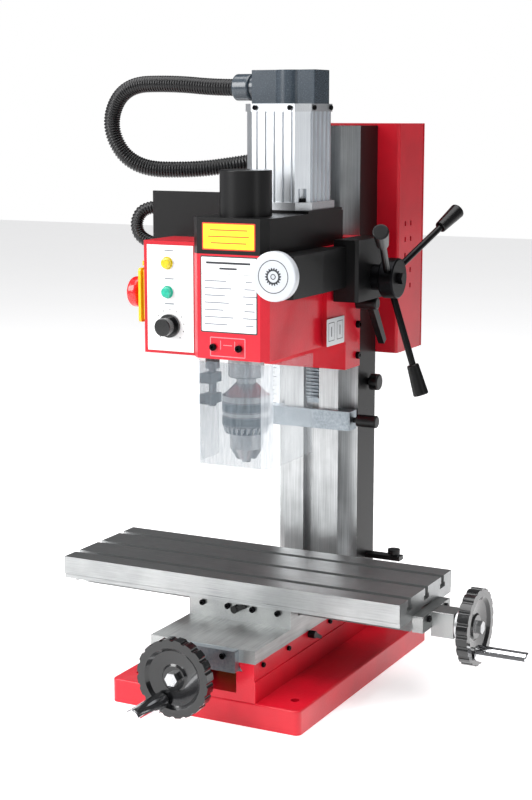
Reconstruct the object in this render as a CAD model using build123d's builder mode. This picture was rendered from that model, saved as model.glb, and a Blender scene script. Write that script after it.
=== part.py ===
"""Benchtop milling machine: base, compound table, dovetail column, belt-driven head, controls.

Frame: origin at the middle of the base's underside, +X along the table to its handwheel,
+Y to the back, +Z up. Millimetres. The machine stands as used: table near its mid travel,
head raised, guard closed.
"""
from build123d import *
from math import cos, pi, radians, sin, tan
import os

os.makedirs("parts", exist_ok=True)

# ---- driving dimensions ----
base_width = 215.0
base_depth = 335.0
plate_height = 25.0
way_half_width = 58.0
way_top = 65.3
bench_hole_inset = 18.0
bench_hole_front = 28.0
bench_hole_r = 4.5

saddle_plate_thickness = 13.5
saddle_half_width = 59.5
saddle_length = 214.0
saddle_block_front = 78.5
saddle_block_length = 128.0
saddle_top = 99.4

table_length = 394.0
table_width = 142.0
table_top = 123.5
table_slab = 23.8
table_lip = 4.2
table_shift = -15.0
t_slot_width = 8.0
t_slot_pitch = 45.0

wheel_diameter = 79.0
wheel_rim_width = 12.0
hub_height = 8.5
crank_radius = 26.0
crank_length = 54.0
crank_diameter = 16.5
screw_r = 6.0

column_half_width = 48.0
column_depth = 47.0
column_top = 585.0
column_foot = 65.0
dovetail_half_width = 32.8
dovetail_depth = 19.1
dovetail_angle = 30.0
rack_recess_half = 9.4

head_half_width = 42.5
head_chamfer = 7.2
head_bottom = 356.0
head_top = 461.0
carrier_half_width = 50.5
carrier_bottom = 325.5
carrier_top = 468.0
belt_cover_height = 36.0
belt_cover_wall = 2.5

spindle_r = 15.0
spindle_nose_r = 18.3
bearing_outer_r = 26.0
bearing_width = 13.0
chuck_r = 24.5
chuck_lower_r = 17.0
chuck_bottom = 249.5

motor_half = 38.1
motor_chamfer = 13.0
motor_body_height = 92.0
motor_flange_thickness = 8.0
motor_cap_thickness = 8.0
terminal_box_height = 34.5

guard_half_width = 44.1
guard_chamfer = 9.3
guard_wall = 3.0
guard_bottom = 247.0

control_width = 62.0
control_depth = 62.0
sheet = 2.0

ebox_half_width = 74.0
ebox_depth = 73.0
ebox_bottom = 334.0
ebox_top = 587.0

capstan_spoke_length = 76.0
capstan_grip_length = 34.0
fine_knob_r = 24.5

conduit_r = 9.0
panel_conduit_r = 7.0

# ---- clearances ----
run_gap = 0.05
slide_gap = 0.15
free_gap = 0.5

# ---- worked-out places ----
front = -base_depth / 2
way_floor = plate_height + 8.0
way_channel_half = 38.0
way_dovetail_top_half = 35.0
way_dovetail_height = 9.5
saddle_bottom = way_top
saddle_plate_top = saddle_bottom + saddle_plate_thickness
saddle_front = front - 0.2
block_front = front + saddle_block_front
table_y = block_front + saddle_block_length / 2
table_bottom = table_top - table_slab
table_left = table_shift - table_length / 2
table_right = table_shift + table_length / 2
x_screw_z = 89.5
y_screw_z = 60.0
land_front = front + 248.9
shoulder_front = land_front + dovetail_depth
column_rear = shoulder_front + column_depth
gib_slope = tan(radians(dovetail_angle))
dovetail_root_half = dovetail_half_width - dovetail_depth * gib_slope
spindle_y = front + 95.0
head_front = front + 57.4
step_y = front + 186.0
carrier_front = front + 228.3
carrier_rear = shoulder_front - 2.0
cover_top = head_top + belt_cover_height
motor_y = front + 192.0
motor_plate_thickness = 3.0
motor_base = cover_top + motor_plate_thickness
motor_top = motor_base + motor_flange_thickness + motor_body_height + motor_cap_thickness
rack_module = 1.25
pinion_teeth = 18
pinion_pitch_r = rack_module * pinion_teeth / 2
rack_tip_y = land_front + 2.0
pinion_y = rack_tip_y + rack_module - pinion_pitch_r
pinion_z = 426.0


def save(part, name):
    part.label = name
    export_step(part, f"parts/{name}.step")


def solids_of(*bodies):
    """Several separate bodies kept as the solids of one node."""
    solids = []
    for body in bodies:
        solids.extend(body.solids())
    return Compound(children=solids)


def box_between(x0, x1, y0, y1, z0, z1):
    centre = Pos((x0 + x1) / 2, (y0 + y1) / 2, (z0 + z1) / 2)
    return centre * Box(x1 - x0, y1 - y0, z1 - z0, mode=Mode.PRIVATE)


def along_y(x, y, z):
    """A plane at (x, y, z) whose normal points to the front, -Y."""
    return Plane(origin=(x, y, z), x_dir=(1, 0, 0), z_dir=(0, -1, 0))


def along_x(x, y, z):
    """A plane at (x, y, z) whose normal points to +X."""
    return Plane(origin=(x, y, z), x_dir=(0, 1, 0), z_dir=(1, 0, 0))


def dovetail_points(root_half, tip_half, root, tip):
    return [(-root_half, root), (-tip_half, tip), (tip_half, tip), (root_half, root)]


# ======== base ========
way_dovetail_bottom_half = way_dovetail_top_half + way_dovetail_height * tan(radians(35))
gib_thickness = 3.0

with BuildPart() as base_casting:
    with BuildSketch(Plane.XY):
        Rectangle(base_width, base_depth)
    extrude(amount=plate_height)
    fillet(base_casting.edges().filter_by(Axis.Z), 6)
    fillet(base_casting.faces().sort_by(Axis.Z)[-1].edges(), 2)
    with BuildSketch(Plane.XY.offset(plate_height)):
        with Locations((0, 0)):
            Rectangle(2 * way_half_width + 2.4, base_depth - 1)
    extrude(amount=22)
    with BuildSketch(Plane.XY.offset(plate_height + 22)):
        Rectangle(2 * way_half_width, base_depth - 1)
    extrude(amount=way_top - plate_height - 22)
    way_end = land_front - 2
    with BuildSketch(along_y(0, front - 1, 0)):
        Polygon(*[(x, z) for x, z in (
            (-way_channel_half, way_floor), (way_channel_half, way_floor),
            (way_channel_half, way_top - way_dovetail_height),
            (way_dovetail_bottom_half + gib_thickness + 0.6, way_top - way_dovetail_height),
            (way_dovetail_top_half + gib_thickness + 0.6, way_top + 1),
            (-way_dovetail_top_half - slide_gap, way_top + 1),
            (-way_dovetail_bottom_half - slide_gap, way_top - way_dovetail_height),
            (-way_channel_half, way_top - way_dovetail_height))], align=None)
    extrude(amount=-(way_end - front + 1), mode=Mode.SUBTRACT)
    with Locations((0, 0, plate_height)):
        with GridLocations(base_width - 2 * bench_hole_inset, base_depth - 2 * bench_hole_front, 2, 2):
            Hole(bench_hole_r, depth=2 * plate_height)

with BuildPart() as y_gib:
    with BuildSketch(along_y(0, saddle_front + 1, 0)):
        Polygon((way_dovetail_bottom_half + 0.2, way_top - way_dovetail_height + 0.3),
                (way_dovetail_bottom_half + gib_thickness + 0.2, way_top - way_dovetail_height + 0.3),
                (way_dovetail_top_half + gib_thickness + 0.35, way_top - 0.3),
                (way_dovetail_top_half + 0.35, way_top - 0.3), align=None)
    extrude(amount=-(saddle_length - 20))
y_gib_node = y_gib.part


def socket_screw(plane, head_r, head_height, length, thread_r, socket=True):
    """A socket-head cap screw: its head stands up from the plane, its thread goes down."""
    with BuildPart() as screw:
        with BuildSketch(plane):
            Circle(head_r)
        extrude(amount=head_height)
        chamfer(screw.edges().filter_by(GeomType.CIRCLE), min(0.4, head_r / 8))
        with BuildSketch(plane):
            Circle(thread_r)
        extrude(amount=-length)
        if socket:
            with BuildSketch(plane.offset(head_height)):
                RegularPolygon(head_r * 0.55, 6)
            extrude(amount=-head_height * 0.6, mode=Mode.SUBTRACT)
    return screw.part


def cut_holes(part, screws):
    """The part with a bore cut for each screw, so threads don't run through metal."""
    for screw in screws:
        part = part - screw
    return part


# ======== column ========
column_bottom = way_top
with BuildPart() as column:
    with BuildSketch(Plane.XY.offset(column_bottom)):
        with Locations((0, (shoulder_front + column_rear) / 2)):
            Rectangle(2 * column_half_width, column_depth)
        Polygon(*dovetail_points(dovetail_root_half - gib_slope, dovetail_half_width, shoulder_front + 1,
                                 land_front), align=None)
        with Locations((0, land_front)):
            Rectangle(2 * rack_recess_half, 18, mode=Mode.SUBTRACT)
        with Locations((0, column_rear)):
            Rectangle(56, 44, mode=Mode.SUBTRACT)
    extrude(amount=column_top - column_bottom)

rack_back = land_front + 9.0
rack_bottom = 282.0
rack_top = 572.0
rack_half = 7.5
with BuildPart() as column_rack:
    with BuildSketch(Plane.YZ.offset(-rack_half)):
        Polygon((rack_tip_y + 2.25 * rack_module, rack_bottom), (rack_back, rack_bottom),
                (rack_back, rack_top), (rack_tip_y + 2.25 * rack_module, rack_top), align=None)
        tooth_pitch = pi * rack_module
        first = pinion_z - tooth_pitch * int((pinion_z - rack_bottom - 3) / tooth_pitch)
        count = int((rack_top - first - 3) / tooth_pitch)
        for k in range(count):
            z = first + k * tooth_pitch
            Polygon((rack_tip_y + 2.4 * rack_module, z - 1.75), (rack_tip_y, z - 0.45),
                    (rack_tip_y, z + 0.45), (rack_tip_y + 2.4 * rack_module, z + 1.75), align=None)
    extrude(amount=2 * rack_half)
column_rack_node = column_rack.part

with BuildPart() as z_scale:
    with BuildSketch(Plane.XY.offset(270)):
        with Locations((-(column_half_width + 5.4), shoulder_front + 0.2)):
            Rectangle(10.8, 1.2)
        with Locations((-(column_half_width + 0.6), shoulder_front + 11)):
            Rectangle(1.2, 22)
    extrude(amount=190)
z_scale_node = z_scale.part
save(solids_of(column_rack_node, z_scale_node), "column_rack_and_scale")

column_bolt_places = [(x, y) for x in (-38, 38) for y in (shoulder_front + 12, column_rear - 12)]
bolt_bodies = []
for x, y in column_bolt_places:
    with BuildPart() as bolt:
        with BuildSketch(Plane.XY.offset(18)):
            Circle(4)
        extrude(amount=column_bottom + 18 - 18)
        with BuildSketch(Plane.XY.offset(10)):
            Circle(6.5)
        extrude(amount=8)
    bolt_bodies.append(Pos(x, y, 0) * bolt.part)
column_bolts_node = Compound(children=bolt_bodies)
base_finished = base_casting.part
column_finished = column.part
for x, y in column_bolt_places:
    base_finished = base_finished - Pos(x, y, 9) * Cylinder(6.8, 18.02)
    base_finished = base_finished - Pos(x, y, 50) * Cylinder(4.1, 80)
    column_finished = column_finished - Pos(x, y, column_bottom) * Cylinder(4.1, 38)
save(column_finished, "column")

# ======== saddle and cross feed ========
y_channel_half = 13.5
saddle_rear = saddle_front + saddle_length
block_rear = block_front + saddle_block_length
x_dovetail_floor = saddle_top - 11.0
x_dovetail_half_top = 36.0
x_flank = 11.0 * tan(radians(35))
x_channel_half = 15.0
with BuildPart() as saddle_blank:
    with BuildSketch(Plane.XY.offset(saddle_bottom + 0.1)):
        with Locations((0, saddle_front + saddle_length / 2)):
            Rectangle(2 * saddle_half_width, saddle_length)
    extrude(amount=saddle_plate_thickness - 0.1)
    with BuildSketch(Plane.XY.offset(saddle_plate_top)):
        with Locations((0, table_y)):
            Rectangle(2 * saddle_half_width, saddle_block_length)
    extrude(amount=saddle_top - saddle_plate_top)
    with BuildSketch(along_y(0, saddle_front, 0)):
        Polygon(*dovetail_points(way_dovetail_top_half, way_dovetail_bottom_half,
                                 saddle_bottom + 0.2, way_top - way_dovetail_height + 0.2), align=None)
    extrude(amount=-saddle_length)
    with BuildSketch(along_y(0, saddle_front - 1, 0)):
        with Locations((0, y_screw_z)):
            Rectangle(2 * y_channel_half, 17)
    extrude(amount=-(saddle_length + 2), mode=Mode.SUBTRACT)
    with BuildSketch(Plane.YZ.offset(-saddle_half_width - 1)):
        Polygon((table_y - x_dovetail_half_top - slide_gap, saddle_top + 1),
                (table_y - x_dovetail_half_top - x_flank - slide_gap, x_dovetail_floor),
                (table_y + x_dovetail_half_top + x_flank + slide_gap, x_dovetail_floor),
                (table_y + x_dovetail_half_top + slide_gap, saddle_top + 1), align=None)
        with Locations((table_y, x_dovetail_floor)):
            Rectangle(2 * x_channel_half, 15)
    extrude(amount=2 * saddle_half_width + 2, mode=Mode.SUBTRACT)

# gib between the front flank of the saddle's groove and the table's dovetail
with BuildPart() as x_gib_space:
    with BuildSketch(Plane.YZ.offset(-saddle_half_width - 1)):
        Polygon((table_y - x_dovetail_half_top - gib_thickness - 0.6, saddle_top + 1),
                (table_y - x_dovetail_half_top - x_flank - gib_thickness - 0.6, x_dovetail_floor),
                (table_y - x_dovetail_half_top - x_flank, x_dovetail_floor),
                (table_y - x_dovetail_half_top, saddle_top + 1), align=None)
    extrude(amount=2 * saddle_half_width + 2)
with BuildPart() as x_gib:
    with BuildSketch(Plane.YZ.offset(-saddle_half_width + 1)):
        Polygon((table_y - x_dovetail_half_top - gib_thickness - 0.3, saddle_top - 0.3),
                (table_y - x_dovetail_half_top - x_flank - gib_thickness - 0.3, x_dovetail_floor + 0.3),
                (table_y - x_dovetail_half_top - x_flank - 0.25, x_dovetail_floor + 0.3),
                (table_y - x_dovetail_half_top - 0.25, saddle_top - 0.3), align=None)
    extrude(amount=2 * saddle_half_width - 2)
x_gib_node = x_gib.part

gib_screw_z = saddle_top - 5.5
screw_tip_gap = 1.6


def x_gib_reach(z):
    """How far a screw at height z goes into the saddle block to meet the slanted gib."""
    gib_face = table_y - x_dovetail_half_top - gib_thickness - 0.3 - (saddle_top - z) * tan(radians(35))
    return gib_face - block_front - screw_tip_gap


x_gib_screws = [socket_screw(along_y(x, block_front, gib_screw_z), 3.0, 3.5, x_gib_reach(gib_screw_z), 2.0)
                for x in (-43, -13, 16, 45)]
x_gib_screws_node = Compound(children=x_gib_screws)


def lock_lever(plane, shank_r, shank_length, hub_r, hub_height, arm_length, arm_angle):
    """A small clamp lever: threaded shank, hub and a tapered arm that leaves the hub sideways."""
    with BuildPart() as lever:
        with BuildSketch(plane):
            Circle(hub_r)
        extrude(amount=hub_height)
        with BuildSketch(plane):
            Circle(shank_r)
        extrude(amount=-shank_length)
        with BuildSketch(plane.offset(hub_height * 0.35)):
            with Locations(Location((0, 0), arm_angle)):
                Polygon((0, -hub_r * 0.75), (arm_length, -hub_r * 0.42),
                        (arm_length, hub_r * 0.42), (0, hub_r * 0.75), align=None)
        extrude(amount=hub_height * 0.55)
        chamfer(lever.edges().filter_by(GeomType.CIRCLE).sort_by(Edge.radius)[-2:], hub_r * 0.08)
    return lever.part


table_lever_z = 92.5
table_lever = lock_lever(along_y(-3, block_front, table_lever_z), 2.0, x_gib_reach(table_lever_z) - 0.3,
                         4.0, 7.0, 14.0, 20)
save(table_lever, "table_lock_lever")
saddle_finished = saddle_blank.part - x_gib_space.part
saddle_finished = saddle_finished - Pos(-3, block_front + 8, table_lever_z) * Rot(90, 0, 0) * Cylinder(2.1, 30)
for x in (-43, -13, 16, 45):
    hole = Pos(x, block_front + 8, gib_screw_z) * Rot(90, 0, 0) * Cylinder(2.0, 30)
    saddle_finished = saddle_finished - hole

bracket_half = 41.5
bracket_thickness = 8.0
bracket_bottom = 56.2
bracket_top = 78.3
bracket_screws = [socket_screw(along_y(x, saddle_front - bracket_thickness, 72.5), 3.2, 3.0, 18, 2.0)
                  for x in (-28, 28)]
with BuildPart() as y_bracket_blank:
    with BuildSketch(along_y(0, saddle_front, 0)):
        with Locations((0, (bracket_bottom + bracket_top) / 2)):
            Rectangle(2 * bracket_half, bracket_top - bracket_bottom)
    extrude(amount=bracket_thickness)
    chamfer(y_bracket_blank.edges().filter_by(Axis.Y), 1)
    with BuildSketch(along_y(0, saddle_front + 1, 0)):
        with Locations((0, y_screw_z)):
            Circle(5.0 + run_gap)
    extrude(amount=bracket_thickness + 2, mode=Mode.SUBTRACT)
save(cut_holes(y_bracket_blank.part, bracket_screws), "y_screw_bracket")
y_bracket_screws_node = Compound(children=bracket_screws)
save(solids_of(x_gib_node, x_gib_screws_node, y_bracket_screws_node), "saddle_gib_and_screws")
save(cut_holes(saddle_finished, bracket_screws), "saddle")

y_wheel_back = front - 48.0
y_wheel_front = y_wheel_back - wheel_rim_width
y_screw_end = front + 196.0
with BuildPart() as y_leadscrew:
    with BuildSketch(along_y(0, saddle_front + 2, y_screw_z)):
        Circle(screw_r)
    extrude(amount=-(y_screw_end - saddle_front - 2))
    with BuildSketch(along_y(0, saddle_front + 2, y_screw_z)):
        Circle(5.0)
    extrude(amount=saddle_front + 2 - (y_wheel_back - hub_height + 0.5))
save(y_leadscrew.part, "y_leadscrew")

y_nut_front = front + 52.0
y_nut_length = 22.0
with BuildPart() as y_nut:
    with BuildSketch(along_y(0, y_nut_front, 0)):
        with Locations((0, (way_floor + 67.5) / 2)):
            Rectangle(22, 67.5 - way_floor)
        with Locations((0, y_screw_z)):
            Circle(screw_r + run_gap, mode=Mode.SUBTRACT)
    extrude(amount=-y_nut_length)
save(y_nut.part, "y_feed_nut")


def handwheel(bore_r):
    """A dished wheel with a scalloped grip rim, made round +Z with its back at z=0."""
    rim = wheel_diameter / 2
    with BuildPart() as wheel:
        with BuildSketch(Plane.XZ):
            Polygon((bore_r, 0), (14, 0), (14, 3), (rim - 10, 3), (rim - 7, 0), (rim, 0),
                    (rim, wheel_rim_width), (rim - 8.5, wheel_rim_width), (rim - 12, 9),
                    (14, 7), (12, hub_height), (bore_r, hub_height), align=None)
        revolve(axis=Axis.Z)
        with BuildSketch(Plane.XY):
            with PolarLocations(rim + 1.4, 20):
                Circle(3.0)
        extrude(amount=wheel_rim_width, mode=Mode.SUBTRACT)
    return wheel.part


def dial(bore_r):
    with BuildPart() as ring:
        with BuildSketch(Plane.XY):
            Circle(15.5)
            Circle(bore_r, mode=Mode.SUBTRACT)
        extrude(amount=9.5)
        chamfer(ring.edges().filter_by(GeomType.CIRCLE).sort_by(Edge.radius)[-2:], 0.8)
    return ring.part


def crank_handle():
    """A turned grip that spins on its own pin, made round +Z with its shoulder at z=0."""
    r = crank_diameter / 2
    with BuildPart() as grip:
        with BuildSketch(Plane.XY):
            Circle(r)
        extrude(amount=crank_length)
        chamfer(grip.edges().filter_by(GeomType.CIRCLE), 1.2)
        with BuildSketch(Plane.XY):
            Circle(3.0 + run_gap)
        extrude(amount=crank_length - 6, mode=Mode.SUBTRACT)
    return grip.part


def crank_pin():
    with BuildPart() as pin:
        with BuildSketch(Plane.XY.offset(-12)):
            Circle(3.0)
        extrude(amount=crank_length - 6 + 12 - 1)
        with BuildSketch(Plane.XY.offset(-6.8)):
            Circle(5.0)
        extrude(amount=6.5)
    return pin.part


def wheel_nut(bore_r):
    with BuildPart() as nut:
        with BuildSketch(Plane.XY):
            RegularPolygon(7.0, 6)
            Circle(bore_r, mode=Mode.SUBTRACT)
        extrude(amount=6)
    return nut.part


to_front = Rot(90, 0, 0)
to_right = Rot(0, 90, 0)
crank_dx, crank_dz = -12.0, -23.0
grip_seat = wheel_rim_width + 0.3

y_wheel_place = Pos(0, y_wheel_back, y_screw_z) * to_front
y_pin_place = Pos(crank_dx, y_wheel_back - grip_seat, y_screw_z + crank_dz) * to_front
y_pin = y_pin_place * crank_pin()
y_wheel_part = y_wheel_place * handwheel(5.0)
pin_hole = y_pin_place * Pos(0, 0, -8) * Cylinder(3.0, 16)
save(y_wheel_part - pin_hole - y_pin, "y_handwheel")
save(y_pin_place * crank_handle(), "y_crank_handle")
y_dial_node = Pos(0, y_wheel_back + 0.5 + 9.5, y_screw_z) * to_front * dial(5.0)
y_wheel_nut_node = Pos(0, y_wheel_back - hub_height, y_screw_z) * to_front * wheel_nut(0.1)
save(solids_of(y_dial_node, y_wheel_nut_node, y_pin), "y_wheel_dial_and_nut")

lever_y = front + 125.0
y_lever = lock_lever(along_x(way_half_width, lever_y, 60.5), 2.0, 14.0, 4.0, 8.0, 18.0, -25)
y_gib_face = way_dovetail_top_half + gib_thickness + 0.35 + (way_top - 60.0) * tan(radians(35))
y_gib_reach = way_half_width - y_gib_face - screw_tip_gap
y_gib_screws = [socket_screw(along_x(way_half_width, front + y, 60.0), 2.6, 3.0, y_gib_reach, 2.0)
                for y in (18, 75, 175)]
save(y_lever, "saddle_lock_lever")
y_gib_screws_node = Compound(children=y_gib_screws)
save(solids_of(column_bolts_node, y_gib_node, y_gib_screws_node), "base_gib_and_fasteners")
base_finished = cut_holes(base_finished, y_gib_screws)
base_finished = base_finished - Pos(way_half_width - 7, lever_y, 60.5) * Rot(0, 90, 0) * Cylinder(2.1, 16)
save(base_finished, "base_casting")

# ======== table and long feed ========
with BuildPart() as table_blank:
    with BuildSketch(Plane.YZ.offset(table_left)):
        with Locations((table_y, (table_top + table_bottom) / 2)):
            Rectangle(table_width, table_slab)
        lip_z = table_bottom + table_lip
        for side in (-1, 1):
            with Locations((table_y + side * table_width / 2, lip_z + 0.4)):
                Rectangle(2.4, 0.8, mode=Mode.SUBTRACT)
            with Locations((table_y + side * table_width / 2, (table_bottom + lip_z) / 2)):
                Rectangle(1.6, table_lip, mode=Mode.SUBTRACT)
        Polygon((table_y - x_dovetail_half_top - x_flank + 0.6, x_dovetail_floor + 0.4),
                (table_y - x_dovetail_half_top, saddle_top),
                (table_y - x_dovetail_half_top, table_bottom + 1),
                (table_y + x_dovetail_half_top, table_bottom + 1),
                (table_y + x_dovetail_half_top, saddle_top),
                (table_y + x_dovetail_half_top + x_flank - 0.6, x_dovetail_floor + 0.4), align=None)
        with Locations((table_y, (x_dovetail_floor + 105) / 2)):
            Rectangle(2 * x_channel_half, 105 - x_dovetail_floor + 2, mode=Mode.SUBTRACT)
        for slot in (-1, 0, 1):
            slot_y = table_y + slot * t_slot_pitch
            with Locations((slot_y, table_top - 4)):
                Rectangle(t_slot_width, 9, mode=Mode.SUBTRACT)
            with Locations((slot_y, table_top - 10)):
                Rectangle(14, 5, mode=Mode.SUBTRACT)
    extrude(amount=table_length)

x_bracket_half = 38.0
x_bracket_thickness = 11.5
x_boss_half = 13.0
x_boss_length = 23.0
boss_end = table_right + x_bracket_thickness + x_boss_length


def end_bracket_screws(x, direction):
    return [socket_screw(Plane(origin=(x, table_y + y, 98.5), x_dir=(0, 1, 0), z_dir=(direction, 0, 0)),
                         3.4, 3.0, 20, 2.0) for y in (-24, 24)]


right_screws = end_bracket_screws(table_right + x_bracket_thickness, 1)
left_screws = end_bracket_screws(table_left - 8, -1)
with BuildPart() as x_bracket:
    with BuildSketch(along_x(table_right, table_y, 0)):
        with Locations((0, 95)):
            Rectangle(2 * x_bracket_half, 17)
    extrude(amount=x_bracket_thickness)
    with BuildSketch(along_x(table_right + x_bracket_thickness - 1, table_y, 0)):
        with Locations((0, x_screw_z + 0.5)):
            Rectangle(2 * x_boss_half, 2 * x_boss_half)
    extrude(amount=x_boss_length + 1)
    fillet(x_bracket.edges().filter_by(Axis.X), 1.2)
    with BuildSketch(along_x(table_right - 1, table_y, x_screw_z)):
        Circle(5.0 + run_gap)
    extrude(amount=x_bracket_thickness + x_boss_length + 2, mode=Mode.SUBTRACT)
x_bearing_bracket_node = cut_holes(x_bracket.part, right_screws)
with BuildPart() as x_end_plate:
    with BuildSketch(along_x(table_left - 8, table_y, 0)):
        with Locations((0, 95)):
            Rectangle(2 * x_bracket_half, 17)
    extrude(amount=8)
    fillet(x_end_plate.edges().filter_by(Axis.X), 1.2)
    with BuildSketch(along_x(table_left - 9, table_y, x_screw_z)):
        Circle(5.0 + run_gap)
    extrude(amount=10, mode=Mode.SUBTRACT)
x_end_plate_node = cut_holes(x_end_plate.part, left_screws)
save(solids_of(x_bearing_bracket_node, x_end_plate_node), "x_end_brackets")
save(Compound(children=right_screws + left_screws), "x_bracket_screws")
save(cut_holes(table_blank.part, right_screws + left_screws), "table")

x_wheel_back = boss_end + 12.0
with BuildPart() as x_leadscrew:
    with BuildSketch(along_x(table_left + 1, table_y, x_screw_z)):
        Circle(screw_r)
    extrude(amount=table_length - 2)
    with BuildSketch(along_x(table_left - 7, table_y, x_screw_z)):
        Circle(5.0)
    extrude(amount=x_wheel_back + hub_height - table_left + 7 - 0.5)
save(x_leadscrew.part, "x_leadscrew")
with BuildPart() as x_nut:
    with BuildSketch(along_x(-13, table_y, 0)):
        with Locations((0, 91.5)):
            Rectangle(24, 21)
        with Locations((0, x_screw_z)):
            Circle(screw_r + run_gap, mode=Mode.SUBTRACT)
    extrude(amount=26)
save(x_nut.part, "x_feed_nut")

x_wheel_place = Pos(x_wheel_back, table_y, x_screw_z) * to_right
x_pin_place = Pos(x_wheel_back + grip_seat, table_y + crank_dx, x_screw_z + crank_dz) * to_right
x_pin = x_pin_place * crank_pin()
x_pin_hole = x_pin_place * Pos(0, 0, -8) * Cylinder(3.0, 16)
save(x_wheel_place * handwheel(5.0) - x_pin_hole - x_pin, "x_handwheel")
save(x_pin_place * crank_handle(), "x_crank_handle")
x_dial_node = Pos(boss_end + 0.5, table_y, x_screw_z) * to_right * dial(5.0)
x_wheel_nut_node = Pos(x_wheel_back + hub_height, table_y, x_screw_z) * to_right * wheel_nut(0.1)
save(solids_of(x_dial_node, x_wheel_nut_node, x_pin), "x_wheel_dial_and_nut")

stop_bar_z = 101.0
with BuildPart() as side_bar:
    with BuildSketch(Plane.XY.offset(stop_bar_z)):
        with Locations((column_half_width + 21, shoulder_front + 30)):
            Rectangle(42, 12)
    extrude(amount=5)
column_side_bar_node = side_bar.part
with BuildPart() as side_knob:
    with BuildSketch(Plane.XY.offset(stop_bar_z + 5)):
        with Locations((column_half_width + 33, shoulder_front + 30)):
            Circle(4)
    extrude(amount=2)
    with BuildSketch(Plane.XY.offset(stop_bar_z + 7)):
        with Locations((column_half_width + 33, shoulder_front + 30)):
            Circle(7)
    extrude(amount=5)
column_side_knob_node = side_knob.part

# ======== head ========
spindle_bore_r = bearing_outer_r
bearing_low = head_bottom + 4.0
bearing_high = head_top - 6.0 - bearing_width
spindle_plane = Plane(origin=(0, spindle_y, 0), x_dir=(1, 0, 0), z_dir=(0, 0, 1))
pinion_tip_r = pinion_pitch_r + rack_module


def octagon_front(half, face_y, rear_y, cut, z, height):
    """A block whose two front corners are cut at 45 degrees."""
    with BuildPart() as block:
        with BuildSketch(Plane.XY.offset(z)):
            Polygon((-half + cut, face_y), (half - cut, face_y), (half, face_y + cut), (half, rear_y),
                    (-half, rear_y), (-half, face_y + cut), align=None)
        extrude(amount=height)
    return block.part


def column_groove(z, height, gap_left, gap_right):
    """The space that a slide leaves for the column's dovetail, open towards the back."""
    with BuildPart() as groove:
        with BuildSketch(Plane.XY.offset(z)):
            Polygon((-dovetail_root_half - gap_left + gib_slope, shoulder_front + 1),
                    (-dovetail_half_width - gap_left - 0.6, land_front - slide_gap),
                    (dovetail_half_width + gap_right + 0.6, land_front - slide_gap),
                    (dovetail_root_half + gap_right - gib_slope, shoulder_front + 1), align=None)
        extrude(amount=height)
    return groove.part


head_gib_thickness = 3.5
with BuildPart() as head_body:
    add(octagon_front(head_half_width, head_front, step_y, head_chamfer, head_bottom, head_top - head_bottom))
    with BuildSketch(Plane.XY.offset(carrier_bottom)):
        Polygon((-carrier_half_width, carrier_front), (-47.7, step_y), (47.7, step_y),
                (carrier_half_width, carrier_front), (carrier_half_width, carrier_rear),
                (-carrier_half_width, carrier_rear), align=None)
    extrude(amount=carrier_top - carrier_bottom)
    # the casting's step: in front of the slide the underside is level with the head
    with BuildSketch(Plane.XY.offset(carrier_bottom - 1)):
        with Locations((0, (head_front + carrier_front) / 2)):
            Rectangle(120, carrier_front - head_front)
    extrude(amount=head_bottom - carrier_bottom + 1, mode=Mode.SUBTRACT)
    with BuildSketch(Plane.XY.offset(head_top)):
        with Locations((0, (head_front + 236 + front) / 2)):
            Rectangle(2 * head_half_width + 16, front + 236 - head_front)
    extrude(amount=20, mode=Mode.SUBTRACT)
    with BuildSketch(spindle_plane.offset(head_bottom - 1)):
        Circle(spindle_bore_r)
    extrude(amount=head_top - head_bottom + 2, mode=Mode.SUBTRACT)
    with BuildSketch(along_x(-12, pinion_y, pinion_z)):
        Circle(pinion_tip_r + 1.0)
    extrude(amount=24, mode=Mode.SUBTRACT)
    with BuildSketch(along_x(0, pinion_y, pinion_z)):
        Circle(6.0 + run_gap)
    extrude(amount=carrier_half_width + 1, mode=Mode.SUBTRACT)
head_casting = head_body.part - column_groove(carrier_bottom - 1, 150, slide_gap, head_gib_thickness + 0.6)

with BuildPart() as head_gib:
    with BuildSketch(Plane.XY.offset(carrier_bottom + 1)):
        Polygon((dovetail_root_half + 0.3 + 2 * gib_slope, carrier_rear),
                (dovetail_half_width + 0.3, land_front + 0.3),
                (dovetail_half_width + head_gib_thickness + 0.2, land_front + 0.3),
                (dovetail_root_half + head_gib_thickness + 0.2 + 2 * gib_slope, carrier_rear), align=None)
    extrude(amount=carrier_top - carrier_bottom - 2)
head_gib_node = head_gib.part


def head_gib_reach(y):
    """How far a screw at depth y goes into the slide's right arm to meet the gib."""
    face = dovetail_half_width + head_gib_thickness + 0.2 - (y - land_front) * gib_slope
    return carrier_half_width - face - 1.6


gib_screw_y = land_front + 9.0
head_gib_screws = [socket_screw(along_x(carrier_half_width, gib_screw_y, z), 4.0, 4.0,
                                head_gib_reach(gib_screw_y), 2.5) for z in (338, 372, 455)]
head_gib_screws_node = Compound(children=head_gib_screws)
lock_z = 396.0
z_lock_reach = head_gib_reach(gib_screw_y) - 0.2
with BuildPart() as z_lock:
    with BuildSketch(along_x(carrier_half_width + 1, gib_screw_y, lock_z)):
        Circle(3.0)
    extrude(amount=-z_lock_reach - 1)
    with BuildSketch(along_x(carrier_half_width + 0.4, gib_screw_y, lock_z)):
        Circle(7.0)
    extrude(amount=24)
    fillet(z_lock.edges().filter_by(GeomType.CIRCLE).sort_by(Axis.X)[-1], 2)
    with BuildSketch(along_x(carrier_half_width + 13, gib_screw_y, lock_z)):
        with Locations(Location((0, 0), -55)):
            Polygon((0, -5.5), (56, -3.8), (56, 3.8), (0, 5.5), align=None)
    extrude(amount=7)
save(z_lock.part, "z_lock_lever")

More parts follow.
